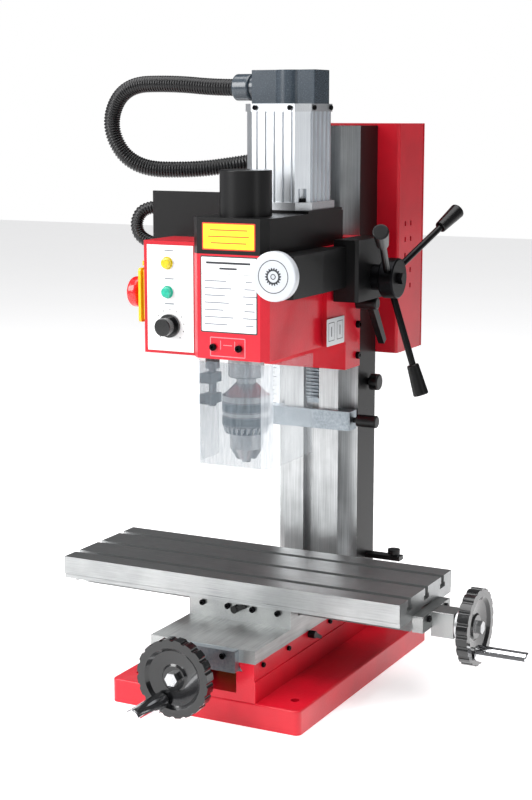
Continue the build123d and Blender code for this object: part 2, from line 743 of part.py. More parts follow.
front_screw_z = head_bottom + 12.0
head_front_screws = [socket_screw(along_y(x, head_front, front_screw_z), 3.6, 3.2, 9.5, 2.5)
                     for x in (-17, 12)]
quill_clamp_screws_node = Compound(children=head_front_screws)
for screw in head_gib_screws:
    head_casting = head_casting - screw
for screw in head_front_screws:
    head_casting = head_casting - screw
head_casting = head_casting - Pos(carrier_half_width - 8, gib_screw_y, lock_z) * to_right * Cylinder(3.1, 24)
save(head_casting, "head_casting")

# ---- spindle, bearings and chuck ----
spindle_top = cover_top - 5.0
nose_bottom = 334.0
arbor_bottom = 327.5
with BuildPart() as spindle:
    with BuildSketch(spindle_plane.offset(head_bottom - 5)):
        Circle(spindle_r)
    extrude(amount=head_top + 32 - head_bottom + 5)
    with BuildSketch(spindle_plane.offset(nose_bottom)):
        Circle(spindle_nose_r)
    extrude(amount=head_bottom - 1 - nose_bottom)
    chamfer(spindle.faces().sort_by(Axis.Z)[0].edges(), 1.2)
    with BuildSketch(spindle_plane.offset(nose_bottom - 1)):
        Circle(5.0)
    extrude(amount=spindle_top - nose_bottom + 2, mode=Mode.SUBTRACT)
save(spindle.part, "spindle")
bearings = []
for z in (bearing_low, bearing_high):
    with BuildPart() as bearing:
        with BuildSketch(spindle_plane.offset(z)):
            Circle(bearing_outer_r)
            Circle(spindle_r + run_gap, mode=Mode.SUBTRACT)
        extrude(amount=bearing_width)
    bearings.append(bearing.part)
save(Compound(children=bearings), "spindle_bearings")

with BuildPart() as chuck_body:
    with BuildSketch(Plane.XZ):
        Polygon((0, arbor_bottom + 6.2), (10, arbor_bottom + 6.2), (10, arbor_bottom), (11, arbor_bottom),
                (chuck_r - 2.5, 316.5), (chuck_r - 2.5, 312), (chuck_lower_r - 2, 312),
                (chuck_lower_r - 2, 283), (chuck_lower_r, 283), (chuck_lower_r, 260.5),
                (10.5, chuck_bottom), (0, chuck_bottom), align=None)
    revolve(axis=Axis.Z)
    with BuildSketch(Plane.XY.offset(chuck_bottom - 1)):
        for angle in (90, 210, 330):
            with Locations(Location((0, 0), angle)):
                with Locations((5, 0)):
                    Rectangle(12.4, 5.2)
    extrude(amount=20, mode=Mode.SUBTRACT)
chuck_place = Pos(0, spindle_y, 0)
save(chuck_place * chuck_body.part, "chuck_body")
with BuildPart() as chuck_sleeve:
    with BuildSketch(Plane.XZ):
        Polygon((chuck_lower_r + 0.3, 284), (chuck_lower_r + 3.8, 276.5), (chuck_r - 3.2, 276.5),
                (chuck_r - 1, 284), (chuck_r, 285), (chuck_r, 315.5), (chuck_r - 1, 316.2),
                (chuck_r - 2.2, 316.2), (chuck_r - 2.2, 311.7), (chuck_lower_r + 0.3, 311.7), align=None)
    revolve(axis=Axis.Z)
    with BuildSketch(Plane.XY.offset(276)):
        with PolarLocations(chuck_r - 2.4, 24):
            RegularPolygon(1.7, 4)
    extrude(amount=6, mode=Mode.SUBTRACT)
save(chuck_place * chuck_sleeve.part, "chuck_sleeve")
jaw_solids = []
for angle in (90, 210, 330):
    with BuildPart() as jaw:
        with BuildSketch(Plane.XZ.offset(-2.4)):
            Polygon((1.2, chuck_bottom - 4), (4.2, chuck_bottom - 4), (10.6, 268), (1.2, 268), align=None)
        extrude(amount=4.8)
    jaw_solids.append(chuck_place * Rot(0, 0, angle) * jaw.part)
save(Compound(children=jaw_solids), "chuck_jaws")

# ---- belt drive ----
pulley_z = head_top + 8.0
pulley_height = 16.0


def pulley(bore_r, outer_r):
    with BuildPart() as wheel:
        with BuildSketch(Plane.XY):
            Circle(outer_r + 2.2)
        extrude(amount=1.5)
        with BuildSketch(Plane.XY.offset(1.5)):
            Circle(outer_r)
        extrude(amount=pulley_height - 3)
        with BuildSketch(Plane.XY.offset(pulley_height - 1.5)):
            Circle(outer_r + 2.2)
        extrude(amount=1.5)
        with BuildSketch(Plane.XY):
            Circle(bore_r)
        extrude(amount=pulley_height, mode=Mode.SUBTRACT)
    return wheel.part


spindle_pulley_r = 30.0
motor_pulley_r = 15.0
spindle_pulley_node = Pos(0, spindle_y, pulley_z) * pulley(spindle_r, spindle_pulley_r)
motor_pulley_node = Pos(0, motor_y, pulley_z) * pulley(5.0, motor_pulley_r)
belt_thickness = 1.6
belt_gap = 0.3


def belt_outline(grow):
    """The open belt's outline round both pulleys, as the hull of two circles."""
    with BuildSketch() as outline:
        with Locations((0, spindle_y)):
            Circle(spindle_pulley_r + grow)
        with Locations((0, motor_y)):
            Circle(motor_pulley_r + grow)
        make_hull()
    return outline.sketch


with BuildPart() as drive_belt:
    with BuildSketch(Plane.XY.offset(pulley_z + 3)):
        add(belt_outline(belt_gap + belt_thickness))
        add(belt_outline(belt_gap), mode=Mode.SUBTRACT)
    extrude(amount=pulley_height - 6)
save(drive_belt.part, "drive_belt")

cover_rear = front + 236.0
cover_body = octagon_front(head_half_width, head_front, cover_rear, head_chamfer, head_top, belt_cover_height)
cover_room = octagon_front(head_half_width - belt_cover_wall, head_front + belt_cover_wall,
                           cover_rear - belt_cover_wall, head_chamfer, head_top - 1,
                           belt_cover_height - belt_cover_wall + 1)
cover_holes = Pos(0, spindle_y, cover_top) * Cylinder(19, 20) + Pos(0, motor_y, cover_top) * Cylinder(17, 20)
belt_cover = cover_body - cover_room - cover_holes
with BuildPart() as drawbar_cap:
    with BuildSketch(spindle_plane.offset(cover_top)):
        Circle(26.3)
    extrude(amount=46)
    fillet(drawbar_cap.faces().sort_by(Axis.Z)[-1].edges(), 1.2)
    with BuildSketch(spindle_plane.offset(cover_top)):
        Circle(23.8)
    extrude(amount=43, mode=Mode.SUBTRACT)
save(drawbar_cap.part, "drawbar_cap")
with BuildPart() as drawbar:
    with BuildSketch(spindle_plane.offset(nose_bottom + 2)):
        Circle(4.9)
    extrude(amount=spindle_top + 6 - nose_bottom)
    with BuildSketch(spindle_plane.offset(head_top + 32)):
        RegularPolygon(8.5, 6)
    extrude(amount=14)
drawbar_node = drawbar.part
save(solids_of(spindle_pulley_node, drawbar_node), "spindle_pulley_and_drawbar")

# ---- motor ----
def chamfered_square(half, cut, z, height, y):
    with BuildPart() as block:
        with BuildSketch(Plane.XY.offset(z)):
            with Locations((0, y)):
                Rectangle(2 * half, 2 * half)
        extrude(amount=height)
        chamfer(block.edges().filter_by(Axis.Z), cut)
    return block.part


motor_plate = box_between(-head_half_width, head_half_width, motor_y - 41, motor_y + 41, cover_top, motor_base)
motor_plate = motor_plate - Pos(0, motor_y, cover_top) * Cylinder(14, 20)
flange_z = motor_base
motor_flange = chamfered_square(motor_half + 2, motor_chamfer, flange_z, motor_flange_thickness, motor_y)
motor_flange = motor_flange - Pos(0, motor_y, flange_z) * Cylinder(5.0 + run_gap, 40)
flange_screws = [socket_screw(Plane.XY.offset(flange_z + motor_flange_thickness).move(
    Location((x, motor_y + y, 0))), 3.6, 4.0, 13.0, 2.5) for x, y in
    ((-30.5, -30.5), (30.5, -30.5), (-30.5, 30.5), (30.5, 30.5))]
body_z = flange_z + motor_flange_thickness
motor_room = motor_body_height - 6
with BuildPart() as motor_housing:
    add(chamfered_square(motor_half - 1.5, motor_chamfer - 1, body_z, motor_body_height, motor_y))
    with BuildSketch(Plane.XY.offset(body_z)):
        with Locations((0, motor_y)):
            for k in range(-2, 3):
                for side in (-1, 1):
                    with Locations((k * 10, side * (motor_half - 1.5))):
                        Rectangle(2.2, 3.0)
                    with Locations((side * (motor_half - 1.5), k * 10)):
                        Rectangle(3.0, 2.2)
    extrude(amount=motor_body_height)
    with BuildSketch(Plane.XY.offset(body_z)):
        with Locations((0, motor_y)):
            Circle(29)
    extrude(amount=motor_room, mode=Mode.SUBTRACT)
cap_z = body_z + motor_body_height
motor_cap = chamfered_square(motor_half, motor_chamfer, cap_z, motor_cap_thickness, motor_y)
with BuildPart() as rotor:
    with BuildSketch(Plane.XY.offset(pulley_z)):
        with Locations((0, motor_y)):
            Circle(5.0)
    extrude(amount=body_z + motor_room - 4 - pulley_z)
    with BuildSketch(Plane.XY.offset(body_z + 8)):
        with Locations((0, motor_y)):
            Circle(17)
    extrude(amount=motor_room - 20)
motor_rotor_node = rotor.part
save(solids_of(motor_rotor_node, motor_pulley_node), "motor_rotor_and_pulley")
with BuildPart() as stator:
    with BuildSketch(Plane.XY.offset(body_z + 6)):
        with Locations((0, motor_y)):
            Circle(29)
            Circle(17.6, mode=Mode.SUBTRACT)
    extrude(amount=motor_room - 14)
motor_stator_node = stator.part
for screw in flange_screws:
    motor_flange = motor_flange - screw
    motor_plate = motor_plate - screw
    belt_cover = belt_cover - screw
save(belt_cover, "belt_cover")
motor_plate_node = motor_plate
motor_flange_node = motor_flange
with BuildPart() as screw_pockets:
    with BuildSketch(Plane.XY.offset(body_z)):
        with Locations((0, motor_y)):
            with GridLocations(61, 61, 2, 2):
                Circle(4.4)
    extrude(amount=14)
motor_housing_node = motor_housing.part - screw_pockets.part
cap_screws = [socket_screw(along_y(x, motor_y - motor_half, cap_z + 4), 2.6, 2.2, 8, 1.6) for x in (-20, 20)]
cap_screws += [socket_screw(along_x(motor_half, motor_y + y, cap_z + 4), 2.6, 2.2, 8, 1.6) for y in (-20, 20)]
motor_screws_node = Compound(children=flange_screws + cap_screws)
motor_cap_node = cut_holes(motor_cap, cap_screws)
save(solids_of(motor_plate_node, motor_flange_node, motor_cap_node), "motor_end_plates")
save(solids_of(motor_housing_node, motor_stator_node), "motor_housing")
save(solids_of(head_gib_node, head_gib_screws_node, quill_clamp_screws_node, motor_screws_node),
     "head_gib_and_screws")

# ---- terminal box on the motor ----
box_z = cap_z + motor_cap_thickness
box_left, box_right = -36.0, 37.0
with BuildPart() as terminal_box:
    with BuildSketch(Plane.XY.offset(box_z)):
        with Locations((0.5, motor_y + 2)):
            Rectangle(box_right - box_left, 36)
        with Locations((5, motor_y - 7)):
            Circle(15)
    extrude(amount=terminal_box_height)
    fillet(terminal_box.edges().filter_by(Axis.Z), 1.0)
    with BuildSketch(Plane.XY.offset(box_z)):
        with Locations((0.5, motor_y + 2)):
            Rectangle(box_right - box_left - 6, 30)
    extrude(amount=terminal_box_height - 3, mode=Mode.SUBTRACT)
conduit_z = 625.0
fitting_left = -62.0
gland_bore = Pos(box_left, motor_y, conduit_z) * to_right * Cylinder(8.0, 20)
terminal_box_node = terminal_box.part - gland_bore
with BuildPart() as fitting:
    with BuildSketch(along_x(fitting_left, motor_y, conduit_z)):
        Circle(conduit_r + 5)
    extrude(amount=20)
    fillet(fitting.edges().filter_by(GeomType.CIRCLE), 2.5)
    with BuildSketch(along_x(fitting_left + 18, motor_y, conduit_z)):
        Circle(conduit_r + 2.5)
    extrude(amount=box_left - fitting_left - 18)
    with BuildSketch(along_x(box_left - 1, motor_y, conduit_z)):
        Circle(7.9)
    extrude(amount=7)
    with BuildSketch(along_x(fitting_left - 1, motor_y, conduit_z)):
        Circle(5)
    extrude(amount=50, mode=Mode.SUBTRACT)
    with BuildSketch(along_x(fitting_left - 1, motor_y, conduit_z)):
        Circle(conduit_r + 0.02)
    extrude(amount=11, mode=Mode.SUBTRACT)
motor_conduit_fitting_node = fitting.part
save(solids_of(terminal_box_node, motor_conduit_fitting_node), "terminal_box")

# ---- feed case, fine feed and capstan ----
feed_half = 67.0
case_front = front + 196.0
case_right = 78.0
case_bottom = 403.0
knob_x = 57.0
knob_z = 443.0
with BuildPart() as feed_case:
    with BuildSketch(Plane.XY.offset(418.5)):
        Polygon((head_half_width, head_front + 6), (feed_half - 4, head_front + 6), (feed_half, head_front + 10),
                (feed_half, front + 136), (feed_half - 3, case_front + 1), (head_half_width, case_front + 1),
                align=None)
    extrude(amount=head_top - 418.5)
    with BuildSketch(Plane.XY.offset(case_bottom)):
        Polygon((carrier_half_width + 0.02, case_front), (case_right - 3, case_front), (case_right, case_front + 3),
                (case_right, carrier_rear - 3), (case_right - 3, carrier_rear),
                (carrier_half_width + 0.02, carrier_rear), align=None)
    extrude(amount=carrier_top - case_bottom)
    with BuildSketch(Plane.XY.offset(case_bottom - 1)):
        Polygon((carrier_half_width + 0.02, carrier_front - 0.5), (carrier_half_width + 0.02, carrier_front),
                (47.72, step_y - 0.02), (head_half_width - 1, step_y - 0.02), (head_half_width - 1, carrier_rear),
                (carrier_half_width + 0.02, carrier_rear + 1), align=None)
    extrude(amount=80, mode=Mode.SUBTRACT)
    with BuildSketch(along_y(knob_x, case_front + 20, knob_z)):
        Circle(5.0 + run_gap)
    extrude(amount=170, mode=Mode.SUBTRACT)
    with BuildSketch(along_x(carrier_half_width - 1, pinion_y, pinion_z)):
        Circle(6.0 + run_gap)
    extrude(amount=40, mode=Mode.SUBTRACT)
    with BuildSketch(Plane.YZ.offset(carrier_half_width + 5)):
        with Locations((pinion_y - 6, pinion_z + 6)):
            Rectangle(46, 42)
    extrude(amount=case_right - carrier_half_width - 8, mode=Mode.SUBTRACT)
gib_screw_relief = Pos(carrier_half_width + 2, gib_screw_y, 455) * to_right * Cylinder(4.6, 8)
feed_case_node = feed_case.part - gib_screw_relief

with BuildPart() as pinion_shaft:
    with BuildSketch(Plane.YZ.offset(-8)):
        with Locations((pinion_y, pinion_z)):
            Circle(pinion_pitch_r - 1.25 * rack_module)
        for k in range(pinion_teeth):
            turn = radians(90) + 2 * pi * k / pinion_teeth
            radial = (cos(turn), sin(turn))
            across = (-sin(turn), cos(turn))
            corners = [(pinion_pitch_r - 1.4 * rack_module, 1.2), (pinion_tip_r - 0.4, 0.25),
                       (pinion_tip_r - 0.4, -0.25), (pinion_pitch_r - 1.4 * rack_module, -1.2)]
            Polygon(*[(pinion_y + r * radial[0] + w * across[0], pinion_z + r * radial[1] + w * across[1])
                      for r, w in corners], align=None)
    extrude(amount=16)
    with BuildSketch(Plane.YZ.offset(-8)):
        with Locations((pinion_y, pinion_z)):
            Circle(6.0)
    extrude(amount=8 + 104)
pinion_shaft_node = pinion_shaft.part

worm_wheel_r = 11.0
with BuildPart() as worm_wheel:
    with BuildSketch(Plane.YZ.offset(carrier_half_width + 7)):
        with Locations((pinion_y, pinion_z)):
            Circle(worm_wheel_r)
            Circle(6.0, mode=Mode.SUBTRACT)
    extrude(amount=9)
feed_clutch_gear_node = worm_wheel.part
save(solids_of(pinion_shaft_node, feed_clutch_gear_node), "pinion_shaft")
hub_x = case_right + 0.6
hub_z = pinion_z
with BuildPart() as capstan_hub:
    with BuildSketch(along_x(hub_x, pinion_y, hub_z)):
        Circle(14)
    extrude(amount=12)
    with BuildSketch(along_x(hub_x + 11, pinion_y, hub_z)):
        Circle(21.5)
    extrude(amount=17)
    fillet(capstan_hub.edges().filter_by(GeomType.CIRCLE).sort_by(Axis.X)[-3:], 2)
    with BuildSketch(along_x(hub_x - 1, pinion_y, hub_z)):
        Circle(6.0)
    extrude(amount=27, mode=Mode.SUBTRACT)
spoke_tilt = 16.9
spoke_first = 27.5
spoke_r = 3.6
spoke_start = 12.0
spokes = []
grips = []
for k in range(3):
    angle = spoke_first + 120 * k
    a = radians(angle)
    t = radians(spoke_tilt)
    direction = Vector(sin(t), -cos(t) * cos(a), cos(t) * sin(a))
    origin = Vector(hub_x + 15, pinion_y, hub_z) + direction * spoke_start
    spoke_plane = Plane(origin=origin, z_dir=direction)
    with BuildPart() as spoke:
        with BuildSketch(spoke_plane):
            Circle(spoke_r)
        extrude(amount=capstan_spoke_length + capstan_grip_length - 4 + 9)
    spokes.append(spoke.part)
    with BuildPart() as grip:
        with BuildSketch(spoke_plane.offset(capstan_spoke_length + 8)):
            Circle(6.4)
        with BuildSketch(spoke_plane.offset(capstan_spoke_length + 8 + capstan_grip_length)):
            Circle(8.4)
        loft()
        fillet(grip.edges().filter_by(GeomType.CIRCLE), 1.5)
    grips.append(cut_holes(grip.part, [spoke.part]))
capstan_spokes_node = Compound(children=spokes)
capstan_grips_node = Compound(children=grips)
capstan_hub_node = cut_holes(capstan_hub.part, spokes)
nut_start = hub_x + 28
with BuildPart() as capstan_nut:
    with BuildSketch(along_x(nut_start, pinion_y, hub_z)):
        RegularPolygon(6.5, 6)
    extrude(amount=5)
capstan_nut_node = capstan_nut.part
save(solids_of(capstan_hub_node, capstan_nut_node), "capstan_hub")
save(solids_of(capstan_spokes_node, capstan_grips_node), "capstan_arms")

with BuildPart() as fine_feed:
    with BuildSketch(along_y(knob_x, head_front - 5.5, knob_z)):
        Circle(fine_knob_r)
    extrude(amount=9)
    fillet(fine_feed.edges().filter_by(GeomType.CIRCLE), 1.6)
    with BuildSketch(along_y(knob_x, head_front - 5.5, knob_z)):
        Circle(9)
    extrude(amount=-10.5)
fine_feed_knob_node = fine_feed.part
fine_shaft_end = front + 190
with BuildPart() as fine_shaft:
    with BuildSketch(along_y(knob_x, fine_shaft_end, knob_z)):
        Circle(5.0)
    extrude(amount=fine_shaft_end - head_front - 5.1)
fine_feed_shaft_node = fine_shaft.part
save(solids_of(fine_feed_knob_node, fine_feed_shaft_node), "fine_feed_knob")
with BuildPart() as feed_index:
    with BuildSketch(Plane.XY.offset(head_top - 5)):
        with Locations((61, head_front + 3.5)):
            Rectangle(8, 5)
    extrude(amount=6)
fine_feed_index_node = feed_index.part
save(solids_of(feed_case_node, fine_feed_index_node), "feed_case")

# ======== depth stop ========
stop_bottom = 255.5
stop_height = 21.0
stop_front = front + 243.0
stop_rear = front + 262.0
with BuildPart() as stop_blank:
    with BuildSketch(Plane.XY.offset(stop_bottom)):
        with Locations((0, (stop_front + stop_rear) / 2)):
            Rectangle(2 * column_half_width + 2, stop_rear - stop_front)
    extrude(amount=stop_height)
    fillet(stop_blank.edges().filter_by(Axis.Z).sort_by(Axis.Y)[:2], 3)
stop_block = stop_blank.part - column_groove(stop_bottom - 1, stop_height + 2, slide_gap, slide_gap)
stop_screw_z = stop_bottom + stop_height / 2
stop_screw_y = stop_rear - 7.0
stop_flank = dovetail_half_width - (stop_screw_y - land_front) * gib_slope
stop_block = stop_block - Pos(50, stop_screw_y, stop_screw_z) * to_right * Cylinder(3.05, 50)
save(stop_block, "depth_stop_block")
with BuildPart() as stop_screw:
    with BuildSketch(along_x(stop_flank + 2.3, stop_screw_y, stop_screw_z)):
        Circle(3.0)
    extrude(amount=column_half_width + 5 - stop_flank)
    with BuildSketch(along_x(column_half_width + 6, stop_screw_y, stop_screw_z)):
        Circle(6.8)
    extrude(amount=23)
    fillet(stop_screw.edges().filter_by(GeomType.CIRCLE).sort_by(Axis.X)[-1], 1.5)
save(stop_screw.part, "depth_stop_knob")

with BuildPart() as column_knob:
    with BuildSketch(along_x(column_half_width, shoulder_front + 28, 303.0)):
        Circle(4.0)
    extrude(amount=4)
    with BuildSketch(along_x(column_half_width + 4, shoulder_front + 28, 303.0)):
        Circle(9.2)
    extrude(amount=10)
    fillet(column_knob.edges().filter_by(GeomType.CIRCLE).sort_by(Axis.X)[-1], 2)
column_side_stop_node = column_knob.part
save(solids_of(column_side_bar_node, column_side_knob_node, column_side_stop_node), "column_side_stop")

# ======== control box ========
control_right = -head_half_width
control_left = control_right - control_width
control_front = front + 68.0
control_rear = control_front + control_depth
control_bottom = head_bottom
control_top = control_bottom + 115.0
with BuildPart() as control_box:
    add(box_between(control_left, control_right, control_front, control_rear, control_bottom, control_top))
    fillet(control_box.edges().filter_by(Axis.Z), 2)
    add(box_between(control_left + sheet, control_right - sheet, control_front + sheet, control_rear + 1,
                    control_bottom + sheet, control_top - sheet), mode=Mode.SUBTRACT)

panel_x = (control_left + control_right) / 2
panel = box_between(control_left + 5, control_right - 3, control_front - 0.8, control_front,
                    control_bottom + 3, control_top - 4)
lamp_x, knob_panel_x, knob_panel_z = -74.5, -73.0, 385.0
yellow_lamp_z, green_lamp_z = 449.0, 419.5


def lamp(z):
    with BuildPart() as body:
        with BuildSketch(along_y(lamp_x, control_front - 0.8, z)):
            Circle(6.6)
        extrude(amount=2)
        with BuildSketch(along_y(lamp_x, control_front - 2.8, z)):
            Circle(5.4)
        extrude(amount=5)
        fillet(body.edges().filter_by(GeomType.CIRCLE).sort_by(Axis.Y)[0], 1.5)
    return body.part


save(panel - Pos(knob_panel_x, control_front, knob_panel_z) * Rot(90, 0, 0) * Cylinder(3.5, 4),
     "control_panel")
save(solids_of(lamp(yellow_lamp_z), lamp(green_lamp_z)), "indicator_lamps")
with BuildPart() as speed_knob:
    with BuildSketch(along_y(knob_panel_x, control_front - 1.3, knob_panel_z)):
        Circle(12.0)
    extrude(amount=3)
    with BuildSketch(along_y(knob_panel_x, control_front - 4.3, knob_panel_z)):
        Circle(9.2)
    extrude(amount=13)
    fillet(speed_knob.edges().filter_by(GeomType.CIRCLE).sort_by(Axis.Y)[0], 1)
    with BuildSketch(along_y(knob_panel_x, control_front - 1.3, knob_panel_z)):
        Circle(3.0)
    extrude(amount=-12)
save(speed_knob.part, "speed_knob")
box_finished = control_box.part - Pos(knob_panel_x, control_front, knob_panel_z) * Rot(90, 0, 0) * Cylinder(3.5, 8)

# bracket behind the box: a bent sheet that carries it on the head's left side
bracket_left = -129.5
shield_top = 518.0
shield = box_between(bracket_left, -head_half_width - 0.3, control_rear, control_rear + 3, 430, shield_top)
shield = shield + box_between(-head_half_width - 3.3, -head_half_width - 0.3, control_rear, control_rear + 42,
                              430, 458)
shield = shield - Pos(-88, control_rear, 452) * Rot(90, 0, 0) * Cylinder(panel_conduit_r + 0.02, 20)

estop_y, estop_z = front + 99.0, 414.0
with BuildPart() as estop_base:
    add(box_between(control_left - 6, control_left, estop_y - 21, estop_y + 21, estop_z - 27, estop_z + 27))
    fillet(estop_base.edges().filter_by(Axis.X), 3)
    for z in (-12, 12):
        with Locations((control_left - 3, estop_y, estop_z + z)):
            Box(8, 12.8, 18.8, mode=Mode.SUBTRACT)
buttons = []
for z in (12, -12):
    button = box_between(control_left - 7.5, control_left - 1.5, estop_y - 6, estop_y + 6,
                         estop_z + z - 9, estop_z + z + 9)
    buttons.append(button)
lid_x0, lid_x1 = control_left - 12.5, control_left - 9.5
lid_hinge_x, lid_hinge_z = control_left - 9.0, estop_z + 31.0
with BuildPart() as estop_lid:
    add(box_between(lid_x0, lid_x1, estop_y - 21, estop_y + 21, estop_z - 29, estop_z + 27))
    fillet(estop_lid.edges().filter_by(Axis.X), 3)
    add(box_between(lid_x0, lid_x1, estop_y - 8, estop_y + 8, estop_z - 34, estop_z - 25))
    add(box_between(lid_x0, lid_hinge_x - 2, estop_y - 8, estop_y + 8, estop_z + 20, lid_hinge_z))
    with BuildSketch(along_y(lid_hinge_x, estop_y - 8, lid_hinge_z)):
        Circle(3.2)
    extrude(amount=-16)
    with BuildSketch(along_y(lid_hinge_x, estop_y - 9, lid_hinge_z)):
        Circle(1.5 + run_gap)
    extrude(amount=-18, mode=Mode.SUBTRACT)
    with BuildSketch(along_x(lid_x0 - 1, estop_y, estop_z)):
        Circle(5.0 + run_gap)
    extrude(amount=5, mode=Mode.SUBTRACT)
save(estop_lid.part, "estop_lid")
with BuildPart() as lid_pin:
    with BuildSketch(along_y(lid_hinge_x, estop_y - 13, lid_hinge_z)):
        Circle(1.5)
    extrude(amount=-26)
    for y in (-13, 9):
        add(box_between(lid_hinge_x - 3, control_left, estop_y + y, estop_y + y + 4, lid_hinge_z - 2, lid_hinge_z + 3))
save(solids_of(estop_base.part, lid_pin.part, *buttons), "estop_housing")
with BuildPart() as mushroom:
    with BuildSketch(Plane(origin=(lid_x0 - 6, estop_y, estop_z), z_dir=(-1, 0, 0))):
        Circle(16.0)
    extrude(amount=13)
    fillet(mushroom.edges().filter_by(GeomType.CIRCLE), 4)
    with BuildSketch(Plane(origin=(lid_x0 - 7, estop_y, estop_z), z_dir=(1, 0, 0))):
        Circle(5.0)
    extrude(amount=9.8)
save(mushroom.part, "estop_mushroom")
save(box_finished, "control_box")
board = box_between(control_left + 8, control_right - 8, control_rear - 12, control_rear - 10,
                    control_bottom + 12, control_top - 12)
board = board + box_between(control_left + 9, control_left + 13, control_rear - 10, control_rear,
                            control_bottom + 14, control_bottom + 20)
board = board + box_between(control_right - 13, control_right - 9, control_rear - 10, control_rear,
                            control_top - 20, control_top - 14)

# ======== guard ========
guard_front = front + 60.0
guard_rear = front + 160.0
guard_top = head_bottom - 3.5
left_panel_rear = front + 112.0
post_x, post_y, post_r = -52.0, front + 118.0, 4.0
inner = guard_half_width - guard_wall
inner_cut = guard_chamfer - guard_wall * tan(radians(22.5))
with BuildPart() as guard:
    with BuildSketch(Plane.XY.offset(guard_bottom)):
        Polygon((-guard_half_width, left_panel_rear), (-guard_half_width, guard_front + guard_chamfer),
                (-guard_half_width + guard_chamfer, guard_front), (guard_half_width - guard_chamfer, guard_front),
                (guard_half_width, guard_front + guard_chamfer), (guard_half_width, guard_rear),
                (inner, guard_rear), (inner, guard_front + guard_wall + inner_cut),
                (inner - inner_cut, guard_front + guard_wall), (-inner + inner_cut, guard_front + guard_wall),
                (-inner, guard_front + guard_wall + inner_cut), (-inner, left_panel_rear), align=None)
    extrude(amount=guard_top - guard_bottom)
save(guard.part, "guard")
clamps = []
for z in (300.0, 322.0):
    clamp = box_between(-guard_half_width - 14.0, -guard_half_width, left_panel_rear - 12, left_panel_rear + 11,
                        z, z + 10)
    clamps.append(clamp - Pos(post_x, post_y, z) * Cylinder(post_r, 40))
with BuildPart() as guard_post:
    with BuildSketch(Plane.XY.offset(296)):
        with Locations((post_x, post_y)):
            Circle(post_r)
    extrude(amount=58)
save(solids_of(guard_post.part, *clamps), "guard_hinge")
plate_bottom = head_bottom - 3.0
with BuildPart() as post_bracket:
    with BuildSketch(Plane.XY.offset(336)):
        with Locations((post_x, post_y)):
            Circle(7.5)
    extrude(amount=head_bottom - 336)
    add(box_between(post_x - 20, post_x + 7.5, post_y - 8, post_y + 8, plate_bottom, head_bottom))
    with BuildSketch(Plane.XY.offset(330)):
        with Locations((post_x, post_y)):
            Circle(post_r + run_gap)
    extrude(amount=plate_bottom - 330 + 1.3, mode=Mode.SUBTRACT)
save(solids_of(shield, post_bracket.part, board), "control_bracket")

# ======== electronics box behind the column ========
ebox_front = column_rear
ebox_rear = ebox_front + ebox_depth
with BuildPart() as ebox:
    add(box_between(-ebox_half_width, ebox_half_width, ebox_front, ebox_rear - 2, ebox_bottom, ebox_top))
    fillet(ebox.edges().filter_by(Axis.Z), 3)
    add(box_between(-ebox_half_width + sheet, ebox_half_width - sheet, ebox_front + sheet, ebox_rear,
                    ebox_bottom + sheet, ebox_top - sheet), mode=Mode.SUBTRACT)
    for k in range(5):
        for y in (ebox_front + 20, ebox_front + 36):
            with Locations((0, y, 477 - 17.5 * k)):
                Box(2 * ebox_half_width + 2, 4, 5.5, mode=Mode.SUBTRACT)
ebox_gland_z = 548.0
ebox_gland_x = -62.0
panel_gland_z = 495.0
ebox_part = ebox.part
for z, r in ((ebox_gland_z, 8.0), (panel_gland_z, 6.5)):
    ebox_part = ebox_part - Pos(ebox_gland_x, ebox_front, z) * Rot(90, 0, 0) * Cylinder(r, 10)
rear_cover = box_between(-ebox_half_width, ebox_half_width, ebox_rear - 2, ebox_rear, ebox_bottom, ebox_top)
driver = box_between(-50, 50, ebox_front + 8, ebox_front + 10, 380, 540)
driver = driver + box_between(-40, 30, ebox_front + 10, ebox_front + 34, 400, 440)
driver = driver + Pos(20, ebox_front + 10 + 17, 500) * Rot(90, 0, 0) * Cylinder(15, 34)
for x in (-44, 44):
    for z in (386, 534):
        driver = driver + Pos(x, ebox_front + 5, z) * Rot(90, 0, 0) * Cylinder(3, 6)
save(solids_of(ebox_part, rear_cover, driver), "electronics_box")


def gland(x, y, z, outer, inner):
    """A conduit gland on the electronics box's front strip, mouth towards the front."""
    with BuildPart() as body:
        with BuildSketch(along_y(x, y, z)):
            Circle(outer + 2.5)
        extrude(amount=10)
        fillet(body.edges().filter_by(GeomType.CIRCLE).sort_by(Axis.Y)[0], 1.5)
        with BuildSketch(along_y(x, y, z)):
            Circle(inner)
        extrude(amount=-5)
        with BuildSketch(along_y(x, y - 10, z)):
            Circle(outer + 0.02)
        extrude(amount=-8, mode=Mode.SUBTRACT)
        with BuildSketch(along_y(x, y - 2, z)):
            Circle(inner - 2)
        extrude(amount=-10, mode=Mode.SUBTRACT)
    return body.part


glands = [gland(ebox_gland_x, ebox_front, ebox_gland_z, conduit_r, 7.9),
          gland(ebox_gland_x, ebox_front, panel_gland_z, panel_conduit_r, 6.4)]
save(Compound(children=glands), "electronics_glands")


# ======== conduits ========
def conduit(points, radius):
    """A tube along straight runs joined by arcs, each as large as its runs allow."""
    vectors = [Vector(*p) for p in points]
    radii = []
    for before, corner, after in zip(vectors, vectors[1:], vectors[2:]):
        turn = radians((corner - before).get_angle(after - corner))
        shorter = min((corner - before).length, (after - corner).length)
        radii.append(0.45 * shorter / tan(turn / 2))
    with BuildPart() as tube:
        with BuildLine() as path:
            FilletPolyline(*points, radius=radii)
        start = Plane(origin=points[0], z_dir=(vectors[1] - vectors[0]))
        with BuildSketch(start):
            Circle(radius)
        sweep(path=path.wires()[0])
    length = path.wires()[0].length
    print("conduit radii", [round(r, 1) for r in radii], "length", round(length, 1),
          "volume ratio", round(tube.part.volume / (pi * radius ** 2 * length), 4))
    return tube.part


